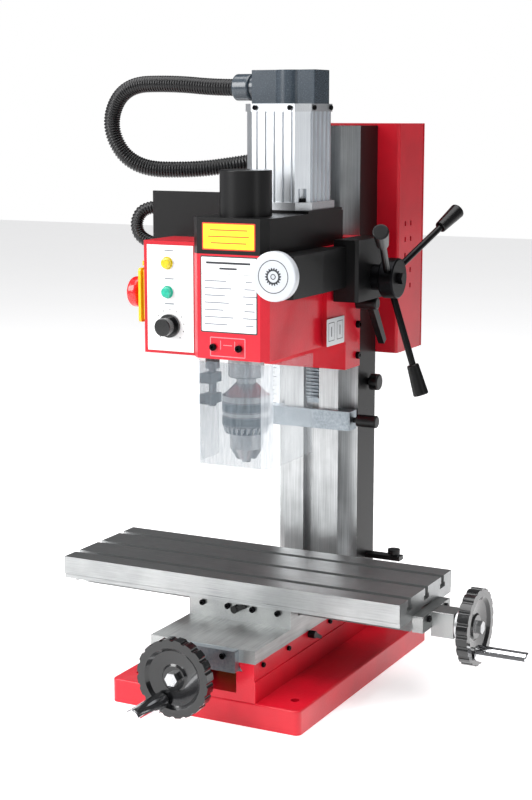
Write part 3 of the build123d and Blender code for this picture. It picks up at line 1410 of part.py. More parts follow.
motor_conduit_route = ((85, 192, 625), (140, 194, 630), (207, 199, 629), (234, 206, 583), (207, 215, 537),
                       (135, 232, 536), (85, 250, 544), (62, 285, 548), (62, 313, 548))
motor_conduit_points = [(fitting_left + 10, motor_y, conduit_z)]
motor_conduit_points += [(-x, front + y, z) for x, y, z in motor_conduit_route]
save(conduit(motor_conduit_points, conduit_r), "motor_conduit")
panel_conduit_route = ((88, 132, 452), (88, 152, 452), (104, 167, 454), (163, 164, 460), (175, 166, 480),
                       (163, 170, 500), (112, 190, 496), (80, 235, 494), (62, 283, 495), (62, 313, 495))
panel_conduit_points = [(-x, front + y, z) for x, y, z in panel_conduit_route]
save(conduit(panel_conduit_points, panel_conduit_r), "panel_conduit")
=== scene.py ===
# %% [markdown]
# # A benchtop milling machine, finished in Blender
# The machine's shape comes packed from CAD as a fixed frame: every casting, screw and shaft is a
# node that rides on its own moving body. This lesson gives those nodes their real finishes, and
# adds what the CAD leaves out, such as the ribs of the cable conduits and the printed plates.

# %% Load the frame
import bpy
import bmesh
from math import cos, pi, radians, sin
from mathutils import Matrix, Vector


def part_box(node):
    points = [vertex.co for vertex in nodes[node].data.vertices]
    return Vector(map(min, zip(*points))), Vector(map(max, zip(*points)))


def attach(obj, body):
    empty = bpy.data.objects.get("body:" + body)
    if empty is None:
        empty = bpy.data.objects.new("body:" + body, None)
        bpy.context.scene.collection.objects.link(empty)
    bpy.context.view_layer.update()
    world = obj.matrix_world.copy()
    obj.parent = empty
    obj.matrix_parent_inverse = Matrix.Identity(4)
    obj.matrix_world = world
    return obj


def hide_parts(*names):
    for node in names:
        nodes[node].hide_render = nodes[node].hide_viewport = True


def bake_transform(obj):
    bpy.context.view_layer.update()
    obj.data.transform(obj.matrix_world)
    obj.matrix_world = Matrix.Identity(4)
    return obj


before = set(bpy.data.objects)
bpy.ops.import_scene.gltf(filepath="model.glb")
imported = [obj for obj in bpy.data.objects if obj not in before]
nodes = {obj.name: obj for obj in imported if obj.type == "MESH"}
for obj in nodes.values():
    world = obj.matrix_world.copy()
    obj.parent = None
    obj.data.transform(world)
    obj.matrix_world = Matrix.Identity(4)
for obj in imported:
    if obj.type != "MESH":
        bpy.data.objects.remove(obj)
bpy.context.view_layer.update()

MM = 0.001

# %% [markdown]
# ## Colour and node helpers
# A colour is easiest to choose as the hex value that a screen shows. Blender's shaders work in
# linear light, so one function turns hex into linear numbers. A second small function adds a
# shader node with its settings and its links in one call, which keeps each material short.

# %% Colour and node helpers
def linear(hex_colour):
    values = [int(hex_colour[i:i + 2], 16) / 255 for i in (1, 3, 5)]
    return [v / 12.92 if v <= 0.04045 else ((v + 0.055) / 1.055) ** 2.4 for v in values] + [1.0]


def new_material(name):
    material = bpy.data.materials.new(name)
    material.use_nodes = True
    tree = material.node_tree
    return material, tree, tree.nodes["Principled BSDF"]


def add(tree, kind, settings=None, inputs=None):
    node = tree.nodes.new(kind)
    for key, value in (settings or {}).items():
        setattr(node, key, value)
    for key, value in (inputs or {}).items():
        if isinstance(value, bpy.types.NodeSocket):
            tree.links.new(value, node.inputs[key])
        else:
            node.inputs[key].default_value = value
    return node


def ramp(tree, factor, low, high, dark, light):
    node = add(tree, "ShaderNodeValToRGB", inputs={"Fac": factor})
    node.color_ramp.elements[0].position = low
    node.color_ramp.elements[0].color = dark
    node.color_ramp.elements[1].position = high
    node.color_ramp.elements[1].color = light
    return node.outputs["Color"]


def place(tree):
    return add(tree, "ShaderNodeTexCoord").outputs["Object"]


def stretched(tree, size_mm):
    """Object coordinates divided by one feature's size along each axis."""
    scale = [1 / (s * MM) for s in size_mm]
    return add(tree, "ShaderNodeMapping", inputs={"Vector": place(tree), "Scale": scale}).outputs["Vector"]


# %% [markdown]
# ## Sprayed enamel on iron castings
# The base and the head are grey iron, sprayed with a bright red machine enamel. A thick spray
# never dries quite flat: it keeps a soft orange peel of bumps about 2 mm across, over the larger
# waves of the sand mould. A coat layer gives the wet gloss, and a slow noise lets the colour drift.

# %% Enamels
def enamel(name, main, deep, peel_mm, peel_depth, roughness, coat, specular=0.5):
    material, tree, shader = new_material(name)
    drift = add(tree, "ShaderNodeTexNoise", inputs={"Vector": stretched(tree, (60, 60, 60)),
                                                    "Scale": 1.0, "Detail": 3.0})
    tree.links.new(ramp(tree, drift.outputs["Fac"], 0.35, 0.7, linear(deep), linear(main)),
                   shader.inputs["Base Color"])
    peel = add(tree, "ShaderNodeTexNoise", inputs={"Vector": stretched(tree, (peel_mm,) * 3),
                                                   "Scale": 1.0, "Detail": 2.0})
    bump = add(tree, "ShaderNodeBump", inputs={"Height": peel.outputs["Fac"], "Strength": peel_depth,
                                               "Distance": 0.0004})
    tree.links.new(bump.outputs["Normal"], shader.inputs["Normal"])
    dull = add(tree, "ShaderNodeMapRange", inputs={"Value": peel.outputs["Fac"], "To Min": roughness - 0.06,
                                                   "To Max": roughness + 0.08})
    tree.links.new(dull.outputs["Result"], shader.inputs["Roughness"])
    shader.inputs["Coat Weight"].default_value = coat
    shader.inputs["Coat Roughness"].default_value = 0.12
    shader.inputs["Specular IOR Level"].default_value = specular
    return material


red_enamel = enamel("red_machine_enamel_on_iron", "#D90C28", "#C00A21", 1.6, 0.5, 0.36, 0.25, 0.35)
red_sheet = enamel("red_enamel_on_sheet_steel", "#C40C22", "#B0091D", 0.9, 0.22, 0.36, 0.2, 0.35)
black_enamel = enamel("black_satin_powder_coat", "#0A0A0B", "#060607", 0.8, 0.3, 0.4, 0.05, 0.25)
silver_enamel = enamel("silver_grey_enamel", "#C9CDD2", "#BFC3C8", 0.6, 0.15, 0.34, 0.25)


# %% [markdown]
# ## Ground and machined metal
# A surface grinder leaves fine parallel lines, and a lathe leaves rings. Both are drawn with one
# noise, stretched along the tool's travel: about 0.5 mm across a line, because real grinding lines
# of 0.02 mm are too fine to show. Oil and handling add a larger, faint mottling to the gloss.

# %% Metals
def ground_metal(name, light, dark, line_mm, roughness, mottle=0.12, metallic=1.0):
    material, tree, shader = new_material(name)
    lines = add(tree, "ShaderNodeTexNoise", inputs={"Vector": stretched(tree, line_mm), "Scale": 1.0,
                                                    "Detail": 3.0, "Roughness": 0.6})
    stain = add(tree, "ShaderNodeTexNoise", inputs={"Vector": stretched(tree, (35, 35, 35)), "Scale": 1.0,
                                                    "Detail": 4.0})
    both = add(tree, "ShaderNodeMath", {"operation": "MULTIPLY_ADD"},
               {0: stain.outputs["Fac"], 1: 0.6, 2: lines.outputs["Fac"]})
    tree.links.new(ramp(tree, both.outputs[0], 0.5, 1.1, linear(dark), linear(light)),
                   shader.inputs["Base Color"])
    rough = add(tree, "ShaderNodeMapRange", inputs={"Value": both.outputs[0], "From Min": 0.4, "From Max": 1.2,
                                                    "To Min": roughness + mottle, "To Max": roughness - 0.04})
    tree.links.new(rough.outputs["Result"], shader.inputs["Roughness"])
    bump = add(tree, "ShaderNodeBump", inputs={"Height": lines.outputs["Fac"], "Strength": 0.12,
                                               "Distance": 0.0002})
    tree.links.new(bump.outputs["Normal"], shader.inputs["Normal"])
    shader.inputs["Metallic"].default_value = metallic
    return material


table_iron = ground_metal("ground_grey_iron_lengthways", "#B4B6B6", "#8E9091", (45, 0.5, 0.5), 0.36)
saddle_iron = ground_metal("ground_grey_iron_crossways", "#B0B2B1", "#87898A", (0.6, 40, 0.6), 0.38)
column_iron = ground_metal("ground_grey_iron_upright", "#C6C8C9", "#9A9C9D", (0.6, 0.6, 60), 0.3, 0.2)
turned_steel = ground_metal("turned_steel", "#C8C9CA", "#A2A3A5", (0.7, 0.7, 0.7), 0.26)
plain_steel = ground_metal("blue_grey_milled_steel", "#9EA6AC", "#7E868C", (3, 0.5, 3), 0.34)
bright_chrome = ground_metal("polished_chrome_plate", "#EDEEF0", "#D8D9DC", (4, 4, 4), 0.09, 0.05)
blackened_steel = ground_metal("oil_blackened_steel", "#1C1C1E", "#0F0F10", (0.8, 0.8, 0.8), 0.34)
extruded_aluminium = ground_metal("satin_anodised_aluminium", "#E4E8EC", "#CDD2D7", (0.5, 0.5, 50), 0.33, 0.1)
cast_aluminium = ground_metal("die_cast_aluminium", "#D2D5D8", "#B8BBBF", (0.9, 0.9, 0.9), 0.38, 0.1)
brass = ground_metal("free_cutting_brass", "#C9A256", "#A98443", (0.6, 0.6, 0.6), 0.28)


# %% [markdown]
# ## Moulded plastics and rubber
# ABS covers and phenolic handwheels copy the polish of their moulds, with a faint sink here and
# there. Nylon conduit is duller. Each is one principled shader with a shallow bump and a slight
# spread of roughness, because even moulded plastic isn't the same gloss all over.

# %% Plastics
def moulded(name, main, other, grain_mm, depth, roughness, coat=0.0, specular=0.5):
    material, tree, shader = new_material(name)
    grain = add(tree, "ShaderNodeTexNoise", inputs={"Vector": stretched(tree, (grain_mm,) * 3), "Scale": 1.0,
                                                    "Detail": 4.0})
    tree.links.new(ramp(tree, grain.outputs["Fac"], 0.3, 0.7, linear(other), linear(main)),
                   shader.inputs["Base Color"])
    spread = add(tree, "ShaderNodeMapRange", inputs={"Value": grain.outputs["Fac"], "To Min": roughness - 0.05,
                                                     "To Max": roughness + 0.07})
    tree.links.new(spread.outputs["Result"], shader.inputs["Roughness"])
    bump = add(tree, "ShaderNodeBump", inputs={"Height": grain.outputs["Fac"], "Strength": depth,
                                               "Distance": 0.0002})
    tree.links.new(bump.outputs["Normal"], shader.inputs["Normal"])
    shader.inputs["Coat Weight"].default_value = coat
    shader.inputs["Specular IOR Level"].default_value = specular
    return material


black_abs = moulded("black_moulded_abs", "#0B0B0C", "#070708", 1.2, 0.25, 0.32, 0.0, 0.3)
grey_abs = moulded("slate_grey_moulded_abs", "#39434C", "#2C353D", 1.2, 0.2, 0.25, 0.3)
phenolic = moulded("black_moulded_phenolic", "#0E0F11", "#090A0B", 3.0, 0.15, 0.2, 0.5, 0.4)
nylon_conduit = moulded("black_nylon_conduit", "#0E0E10", "#08080A", 1.5, 0.2, 0.3, 0.0, 0.45)
belt_rubber = moulded("neoprene_belt_rubber", "#1A1A1A", "#101010", 0.8, 0.5, 0.6)
yellow_abs = moulded("yellow_moulded_abs", "#F3C412", "#E8B50C", 1.5, 0.15, 0.3)
red_abs = moulded("red_moulded_abs", "#E01218", "#CF0D13", 1.5, 0.12, 0.25, 0.3)
green_abs = moulded("green_moulded_abs", "#1F8F4A", "#187A3E", 1.5, 0.12, 0.28)
white_print = moulded("white_printed_polycarbonate", "#F2F3F3", "#E8EAEA", 4.0, 0.08, 0.3)
ink_grey = moulded("grey_screen_print", "#8A8F95", "#7C8187", 1.0, 0.05, 0.4)
ink_dark = moulded("dark_screen_print", "#2B2F34", "#202328", 1.0, 0.05, 0.4)
ink_pink = moulded("faded_pink_print", "#D98A93", "#CF7B86", 1.0, 0.05, 0.4)
label_yellow = moulded("yellow_vinyl_label", "#F6D92C", "#EFCF20", 6.0, 0.05, 0.35)
label_red = moulded("red_vinyl_print", "#D8361E", "#CC2D18", 3.0, 0.05, 0.35)
label_silver = ground_metal("brushed_foil_label", "#DDE0E2", "#C8CBCE", (6, 0.5, 0.5), 0.3)
circuit_green = moulded("green_solder_mask", "#1D6B3C", "#165530", 2.0, 0.1, 0.35)


# %% [markdown]
# ## The clear guard and the lamp lenses
# The guard is 3 mm acrylic sheet, clear with a cold grey cast. Acrylic's index is 1.49. A true
# refracting sheet would send dark caustic shadows across the chuck, so the sheet is drawn as a
# thin film: mostly see-through, with the gloss of the shader and a light grey body.

# %% Clear plastics
def clear_sheet(name, colour, light, alpha, roughness, scratches):
    material, tree, shader = new_material(name)
    wear = add(tree, "ShaderNodeTexNoise", inputs={"Vector": stretched(tree, (2, 2, 18)), "Scale": 1.0,
                                                   "Detail": 5.0})
    haze = add(tree, "ShaderNodeMapRange", inputs={"Value": wear.outputs["Fac"], "From Min": 0.3,
                                                   "From Max": 0.8, "To Min": alpha,
                                                   "To Max": alpha + scratches})
    tree.links.new(haze.outputs["Result"], shader.inputs["Alpha"])
    tree.links.new(ramp(tree, wear.outputs["Fac"], 0.3, 0.7, linear(colour), linear(light)),
                   shader.inputs["Base Color"])
    shader.inputs["Roughness"].default_value = roughness
    shader.inputs["IOR"].default_value = 1.49
    return material


guard_clear = clear_sheet("clear_acrylic_sheet", "#AEB8BF", "#C9D2D8", 0.1, 0.06, 0.1)
guard_smoked = clear_sheet("smoke_tinted_acrylic_sheet", "#48525A", "#76828B", 0.42, 0.08, 0.2)
# The pale, nearly opaque strip along the guard's front-right bend is a painted highlight.
guard_bend_painted_highlight = clear_sheet("acrylic_bend_painted_highlight", "#C4CCD3", "#DDE3E8", 0.6, 0.2, 0.1)
lens_yellow = moulded("yellow_polycarbonate_lens", "#D9C81E", "#B8A50E", 2.5, 0.25, 0.14, 0.6)
lens_green = moulded("green_polycarbonate_lens", "#1FB89A", "#109A80", 2.5, 0.25, 0.14, 0.6)


# %% [markdown]
# ## A finish for every node
# Some nodes hold several pieces: the column's ways are ground bright while its flanks are painted
# black, and the terminal box carries its conduit fitting. A face keeps its place, so a small rule
# on the face's centre and normal picks which of the node's finishes it takes.

# %% Finishing helpers
def finish(name, *materials, rule=None):
    mesh = nodes[name].data
    mesh.materials.clear()
    for material in materials:
        mesh.materials.append(material)
    for face in mesh.polygons:
        face.material_index = rule(face.center * 1000, face.normal) if rule else 0


def as_object(mesh, name, material):
    """Turn a finished bmesh into an object of the scene."""
    data = bpy.data.meshes.new(name)
    mesh.to_mesh(data)
    mesh.free()
    data.materials.append(material)
    piece = bpy.data.objects.new(name, data)
    bpy.context.collection.objects.link(piece)
    return piece


def rides(piece, body):
    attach(piece, body)
    return piece


def soften(name, width_mm=0.5):
    """A small bevel that catches light along a machined or moulded edge."""
    bevel = nodes[name].modifiers.new("edge_break", "BEVEL")
    bevel.width = width_mm * MM
    bevel.segments = 2
    bevel.limit_method = "ANGLE"
    bevel.angle_limit = radians(50)
    bevel.harden_normals = False


# %% Castings, table and column
FACING = 0.9  # a face whose normal reaches this far along an axis faces that way

finish("base_casting", red_enamel, table_iron,
       rule=lambda c, n: 1 if c.z > 65.0 and n.z > FACING and c.y < 70 else 0)
finish("column", column_iron, black_enamel,
       rule=lambda c, n: 1 if ((abs(n.x) > FACING and abs(c.x) > 40) or n.y > FACING
                               or c.y > 102 or n.z > FACING) else 0)
finish("saddle", saddle_iron)
finish("table", table_iron)
finish("x_end_brackets", saddle_iron)
finish("head_casting", red_enamel)
finish("belt_cover", black_enamel)
finish("feed_case", black_enamel)
finish("drawbar_cap", black_abs)
finish("y_screw_bracket", plain_steel)
finish("base_gib_and_fasteners", blackened_steel, plain_steel,
       rule=lambda c, n: 1 if c.y < 40 and c.x < 57 and c.z > 50 else 0)
finish("saddle_gib_and_screws", blackened_steel)
finish("x_bracket_screws", blackened_steel)
finish("head_gib_and_screws", blackened_steel)
finish("column_rack_and_scale", plain_steel, label_silver, rule=lambda c, n: 1 if c.x < -40 else 0)
finish("column_side_stop", black_abs, blackened_steel, rule=lambda c, n: 1 if c.x < 52 else 0)
finish("depth_stop_block", plain_steel)
finish("depth_stop_knob", black_abs)

# %% Feeds, wheels and levers
finish("y_leadscrew", turned_steel)
finish("x_leadscrew", turned_steel)
finish("y_feed_nut", brass)
finish("x_feed_nut", brass)
finish("y_handwheel", phenolic)
finish("x_handwheel", phenolic)
finish("y_wheel_dial_and_nut", turned_steel)
finish("x_wheel_dial_and_nut", turned_steel)
finish("y_crank_handle", bright_chrome)
finish("x_crank_handle", bright_chrome)
finish("table_lock_lever", black_abs)
finish("saddle_lock_lever", black_abs)
finish("z_lock_lever", black_abs)
finish("pinion_shaft", turned_steel)
finish("capstan_hub", blackened_steel)
hub_axis = Vector((0, 73.4, 426.0))
finish("capstan_arms", blackened_steel, black_abs,
       rule=lambda c, n: 1 if (Vector((0, c.y, c.z)) - hub_axis).length > 62 else 0)
finish("fine_feed_knob", silver_enamel, turned_steel, rule=lambda c, n: 1 if c.y > -118 else 0)

# %% Spindle, chuck and motor
finish("spindle", turned_steel)
finish("spindle_bearings", turned_steel)
finish("spindle_pulley_and_drawbar", cast_aluminium)
finish("chuck_body", turned_steel)
finish("chuck_jaws", turned_steel)
# Blackened steel for the knurled bands. The same dark finish on the sleeve's cone below z 283.9 is painted
# shade, seen in the gaps between the key gear's teeth.
knurl_black_and_gear_gap_shade = ground_metal("blackened_knurl_and_painted_gear_gap_shade", "#46525E", "#222A32", (0.8, 0.8, 0.8), 0.3)
finish("chuck_sleeve", turned_steel, knurl_black_and_gear_gap_shade, rule=lambda c, n: 1 if c.z < 283.9 else 0)
finish("drive_belt", belt_rubber)
finish("motor_rotor_and_pulley", turned_steel)
finish("motor_end_plates", cast_aluminium, black_enamel, rule=lambda c, n: 1 if c.z < 500.1 else 0)
finish("motor_housing", extruded_aluminium)
finish("terminal_box", grey_abs)

# %% Controls, guard and electronics
finish("control_box", red_sheet)
finish("control_panel", white_print)
finish("indicator_lamps", lens_green, lens_yellow, bright_chrome,
       rule=lambda c, n: 2 if c.y > -102.0 else (1 if c.z > 435 else 0))
finish("speed_knob", phenolic)
finish("estop_housing", yellow_abs, green_abs, red_abs,
       rule=lambda c, n: (1 if c.z > 414 else 2) if c.x < -110.6 and abs(c.z - 414) < 22 else 0)
finish("estop_lid", yellow_abs)
finish("estop_mushroom", red_abs)


def guard_rule(c, n):
    if n.y < -0.95 and c.y < -105:
        return 1
    # Faces of the front-right bend take the painted highlight.
    if c.y < -98 and abs(n.x) > 0.5 and n.y < -0.3:
        return 2
    return 0


finish("guard", guard_clear, guard_smoked, guard_bend_painted_highlight, rule=guard_rule)
finish("guard_hinge", blackened_steel)
finish("control_bracket", black_enamel, circuit_green,
       rule=lambda c, n: 1 if c.y < -37.6 and c.x < -50 and c.z > 360 else 0)
finish("electronics_box", red_sheet, circuit_green,
       rule=lambda c, n: 1 if 152 < c.y < 210 and abs(c.x) < 60 and 370 < c.z < 545 else 0)
finish("electronics_glands", black_abs)
for name in ("base_casting", "table", "saddle", "head_casting", "belt_cover", "control_box",
             "electronics_box", "x_end_brackets", "y_screw_bracket", "feed_case", "depth_stop_block",
             "terminal_box"):
    soften(name)
print("finished", len(nodes), "nodes")

# %% [markdown]
# ## Corrugated conduits
# Split nylon conduit is a tube of close rings, here 3 mm apart. A lathe-like sweep suits it: a
# smooth spline gives the centreline, and rings of points round it swell and shrink with the
# pitch. The rings follow points read from the spline, so the tube bends without kinks.

# %% Conduits
def centreline(name, points_mm):
    curve = bpy.data.curves.new(name + "_line", "CURVE")
    curve.dimensions = "3D"
    curve.resolution_u = 24
    spline = curve.splines.new("NURBS")
    spline.points.add(len(points_mm) - 1)
    for point, place_mm in zip(spline.points, points_mm):
        point.co = (*[v * MM for v in place_mm], 1)
    spline.order_u = 3
    spline.use_endpoint_u = True
    holder = bpy.data.objects.new(name + "_line", curve)
    bpy.context.collection.objects.link(holder)
    bpy.context.view_layer.update()
    mesh = bpy.data.meshes.new_from_object(holder)
    line = [v.co.copy() for v in mesh.vertices]
    bpy.data.objects.remove(holder)
    bpy.data.meshes.remove(mesh)
    return line


def evenly(line, step):
    """Points a fixed step apart along a line."""
    lengths = [0.0]
    for a, b in zip(line, line[1:]):
        lengths.append(lengths[-1] + (b - a).length)
    count = int(lengths[-1] / step)
    result, k = [], 0
    for i in range(count + 1):
        at = lengths[-1] * i / count
        while k < len(line) - 2 and lengths[k + 1] < at:
            k += 1
        part = (at - lengths[k]) / max(lengths[k + 1] - lengths[k], 1e-9)
        result.append(line[k].lerp(line[k + 1], min(max(part, 0), 1)))
    return result, lengths[-1]


def corrugated(name, points_mm, radius_mm, pitch_mm, sides=28):
    line = centreline(name, points_mm)
    rings, length = evenly(line, pitch_mm * MM / 6)
    profile = (1.0, 0.985, 0.9, 0.86, 0.9, 0.985)
    mesh = bmesh.new()
    tangent = (rings[1] - rings[0]).normalized()
    side = tangent.orthogonal().normalized()
    loops = []
    for i, centre in enumerate(rings):
        ahead = rings[min(i + 1, len(rings) - 1)] - rings[max(i - 1, 0)]
        tangent = ahead.normalized()
        side = (side - tangent * side.dot(tangent)).normalized()
        other = tangent.cross(side)
        r = radius_mm * MM * profile[i % 6]
        loops.append([mesh.verts.new(
            centre + (side * cos(2 * pi * k / sides) + other * sin(2 * pi * k / sides)) * r)
            for k in range(sides)])
    for a, b in zip(loops, loops[1:]):
        for k in range(sides):
            mesh.faces.new((a[k], a[(k + 1) % sides], b[(k + 1) % sides], b[k]))
    mesh.faces.new(reversed(loops[0]))
    mesh.faces.new(loops[-1])
    tube = as_object(mesh, name, nylon_conduit)
    for face in tube.data.polygons:
        face.use_smooth = True
    return tube, line, length


front = -167.5
motor_route = [(-52, front + 192, 625)]
motor_route += [(-x, front + y, z) for x, y, z in (
    (85, 192, 625), (140, 194, 630), (207, 199, 629), (234, 206, 583), (207, 215, 537),
    (135, 232, 536), (85, 250, 544), (62, 285, 548), (62, 313, 548))]
panel_route = [(-x, front + y, z) for x, y, z in (
    (88, 132, 452), (88, 152, 452), (104, 167, 454), (163, 164, 460), (175, 166, 480),
    (163, 170, 500), (112, 190, 496), (80, 235, 494), (62, 283, 495), (62, 313, 495))]
for name, route, radius in (("motor_conduit_ribbed", motor_route, 9.0),
                            ("panel_conduit_ribbed", panel_route, 7.0)):
    tube, line, length = corrugated(name, route, radius, 3.2)
    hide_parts(name.replace("_ribbed", ""))
    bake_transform(tube)
    print(name, "length", round(length, 4))

# %% [markdown]
# ## Chuck details
# The chuck's outer sleeve is knurled in two bands so that a hand can turn it, and its lower edge
# is a bevel gear for the key. A knurl is two crossed spirals of grooves: the mesh ring below is a
# fine grid whose points rise where two spirals cross. The gear is a ring on the sleeve's cone: its
# teeth stand out, and the gaps sink below the CAD surface, whose dark finish there is painted
# shade between the teeth. Thin dark rings at the edges of the bands are painted shade for the grooves.

# %% Knurled bands and the key gear
chuck_x, chuck_y = 0.0, -72.5


def turned_ring(name, body, material, profile, steps, height=None):
    """A ring turned about the spindle. Profile points are (radius, z) in millimetres."""
    mesh = bmesh.new()
    rows = []
    for i, (r, z) in enumerate(profile):
        row = []
        for k in range(steps):
            a = 2 * pi * k / steps
            out = r + (height(i, k) if height else 0)
            row.append(mesh.verts.new(Vector((chuck_x + out * cos(a), chuck_y + out * sin(a), z)) * MM))
        rows.append(row)
    for a, b in zip(rows, rows[1:]):
        for k in range(steps):
            mesh.faces.new((a[k], a[(k + 1) % steps], b[(k + 1) % steps], b[k]))
    bmesh.ops.recalc_face_normals(mesh, faces=mesh.faces)
    return rides(as_object(mesh, name, material), body)


sleeve_r = 24.5
top_z = (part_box("chuck_sleeve")[1] * 1000).z
knurl_rows = 19
for band, (start, end) in enumerate(((7.5, 16.5), (22.0, 31.0))):
    profile = [(sleeve_r - 0.3, top_z - start)]
    profile += [(sleeve_r + 0.05, top_z - start - 0.4 - (end - start - 0.8) * i / (knurl_rows - 1))
                for i in range(knurl_rows)]
    profile += [(sleeve_r - 0.3, top_z - end)]
    turned_ring(f"sleeve_knurl_{band}", "chuck_sleeve", knurl_black_and_gear_gap_shade, profile, 240,
                lambda i, k: (0.22 * ((i + k) % 4 in (0, 1)) * ((k - i) % 4 in (0, 1))
                              if 0 < i <= knurl_rows else 0))
# Thin dark rings just outside each knurled band: painted shade standing for the turned grooves.
for band, at in enumerate((7.0, 16.9, 21.6, 31.4)):
    turned_ring(f"sleeve_groove_painted_shade_{band}", "chuck_sleeve", blackened_steel,
                [(sleeve_r + 0.02, top_z - at + 0.35), (sleeve_r + 0.06, top_z - at),
                 (sleeve_r + 0.02, top_z - at - 0.35)], 96)
gear_teeth = 24
gear_step = 8
# The gaps sink 0.9 mm so that the cone's dark finish, painted shade, shows between the teeth.
turned_ring("key_gear", "chuck_sleeve", turned_steel, [(23.2, 283.8), (22.5, 280.6), (21.4, 277.0)],
            gear_teeth * gear_step, lambda i, k: 0.7 if k % gear_step < 6 - 2 * i else -0.9)

# %% [markdown]
# ## Printed plates and labels
# The machine's plates are thin vinyl and foil. Each is a rounded sheet 0.3 mm proud of its face,
# with its border and rules as thinner inlays, so that they read crisply from any side. They carry
# plain rules only: no words, names or numbers.

# %% Plates
def sheet_piece(name, body, material, centre_mm, size_mm, normal, corner_mm=1.0, lift_mm=0.3):
    """A rounded rectangle, standing lift_mm proud of a face whose normal is -Y or +X."""
    mesh = bmesh.new()
    width, height = size_mm[0] / 2, size_mm[1] / 2
    corner = min(corner_mm, width * 0.98, height * 0.98)
    outline = []
    for cx, cz, start in ((width - corner, height - corner, 0), (-width + corner, height - corner, 90),
                          (-width + corner, -height + corner, 180), (width - corner, -height + corner, 270)):
        for k in range(5):
            a = radians(start + 22.5 * k)
            outline.append((cx + corner * cos(a), cz + corner * sin(a)))
    layers = []
    for lift, shrink in ((0.0, 0.0), (lift_mm * 0.6, 0.0), (lift_mm, lift_mm * 0.4)):
        ring = []
        for u, v in outline:
            u2 = u - shrink * (1 if u > 0 else -1)
            v2 = v - shrink * (1 if v > 0 else -1)
            if normal == "-Y":
                point = Vector((centre_mm[0] + u2, centre_mm[1] - lift, centre_mm[2] + v2))
            else:
                point = Vector((centre_mm[0] + lift, centre_mm[1] + u2, centre_mm[2] + v2))
            ring.append(mesh.verts.new(point * MM))
        layers.append(ring)
    for a, b in zip(layers, layers[1:]):
        for k in range(len(a)):
            mesh.faces.new((a[k], a[(k + 1) % len(a)], b[(k + 1) % len(b)], b[k]))
    mesh.faces.new(layers[-1])
    mesh.faces.new(reversed(layers[0]))
    bmesh.ops.recalc_face_normals(mesh, faces=mesh.faces)
    return rides(as_object(mesh, name, material), body)


head_face = -110.1
sheet_piece("data_plate_border", "head", ink_dark, (0.6, head_face, 421.0), (64.0, 76.5), "-Y", 1.5, 0.25)
sheet_piece("data_plate", "head", white_print, (0.6, head_face, 421.0), (61.6, 74.1), "-Y", 1.0, 0.4)
sheet_piece("data_plate_rule", "head", ink_dark, (0.6, head_face, 441.5), (61.0, 0.6), "-Y", 0.2, 0.5)
for k in range(7):
    z = 434.5 - 7.2 * k
    width = (25, 31, 24, 28, 22, 33, 26)[k]
    sheet_piece(f"data_row_{k}", "head", ink_grey, (-27.0 + width / 2, head_face, z), (width, 1.5),
                "-Y", 0.3, 0.5)
    sheet_piece(f"data_value_{k}", "head", ink_grey, (24.0, head_face, z), (9 + k % 3 * 3, 1.5),
                "-Y", 0.3, 0.5)
sheet_piece("data_title_0", "head", ink_dark, (0.0, head_face, 452.5), (50.0, 2.4), "-Y", 0.4, 0.5)
sheet_piece("data_title_1", "head", ink_dark, (0.0, head_face, 447.0), (20.0, 2.2), "-Y", 0.4, 0.5)
clamp_print = ((0, 9.4, 39, 0.9), (0, -9.4, 39, 0.9), (-19.5, 0, 0.9, 19), (19.5, 0, 0.9, 19),
               (-8, 2.0, 0.7, 9), (8, 2.0, 0.7, 9), (0, 2.0, 10, 0.7))
for k, (dx, dz, width, height) in enumerate(clamp_print):
    sheet_piece(f"clamp_print_{k}", "head", ink_pink, (-1.0 + dx, head_face, 368.5 + dz),
                (width, height), "-Y", 0.3, 0.12)

# %% Labels on the belt cover, the carrier and the column
cover_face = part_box("belt_cover")[0].y * 1000
sheet_piece("cover_label_border", "head", label_red, (0.5, cover_face, 478.6), (59.5, 27.0), "-Y", 1.0, 0.2)
sheet_piece("cover_label", "head", label_yellow, (0.5, cover_face, 478.6), (57.0, 24.6), "-Y", 0.8, 0.32)
for k, width in enumerate((42, 46, 40)):
    sheet_piece(f"cover_label_row_{k}", "head", label_red, (0.5, cover_face, 485.0 - 6.4 * k),
                (width, 1.1), "-Y", 0.3, 0.4)
carrier_side = 50.5
sheet_piece("lever_label", "head", label_silver, (carrier_side, 34.5, 371.0), (44.0, 29.0), "+X", 1.5, 0.25)
for k in range(2):
    sheet_piece(f"lever_label_frame_{k}", "head", ink_dark, (carrier_side, 24.0 + 21 * k, 371.5), (15.0, 20.0),
                "+X", 1.0, 0.32)
    sheet_piece(f"lever_label_field_{k}", "head", label_silver, (carrier_side, 24.0 + 21 * k, 371.5),
                (13.6, 18.6), "+X", 0.8, 0.4)
    sheet_piece(f"lever_label_mark_{k}", "head", ink_dark, (carrier_side, 24.0 + 21 * k, 371.5),
                (2.0, 11.0), "+X", 0.9, 0.48)

# %% [markdown]
# ## Scales and dials
# A machinist reads travel from engraved lines. They are thin dark bars here: one each 5 mm on the
# column's strip, every second one longer, and a ring of square marks round the speed knob.

# %% Speed dial ticks and panel print
panel_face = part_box("control_panel")[0].y * 1000
dial_x, dial_z, tick_r = -73.0, 385.0, 16.5
for k in range(11):
    a = radians(225 - 27 * k)
    sheet_piece(f"speed_tick_{k}", "head", ink_dark,
                (dial_x + tick_r * cos(a), panel_face, dial_z + tick_r * sin(a)), (1.2, 1.2), "-Y", 0.55,
                0.12)
for k, z in enumerate((461.5, 433.0, 407.5)):
    sheet_piece(f"panel_print_{k}", "head", ink_grey, (-73.5, panel_face, z), (11.0, 1.4), "-Y", 0.4, 0.12)


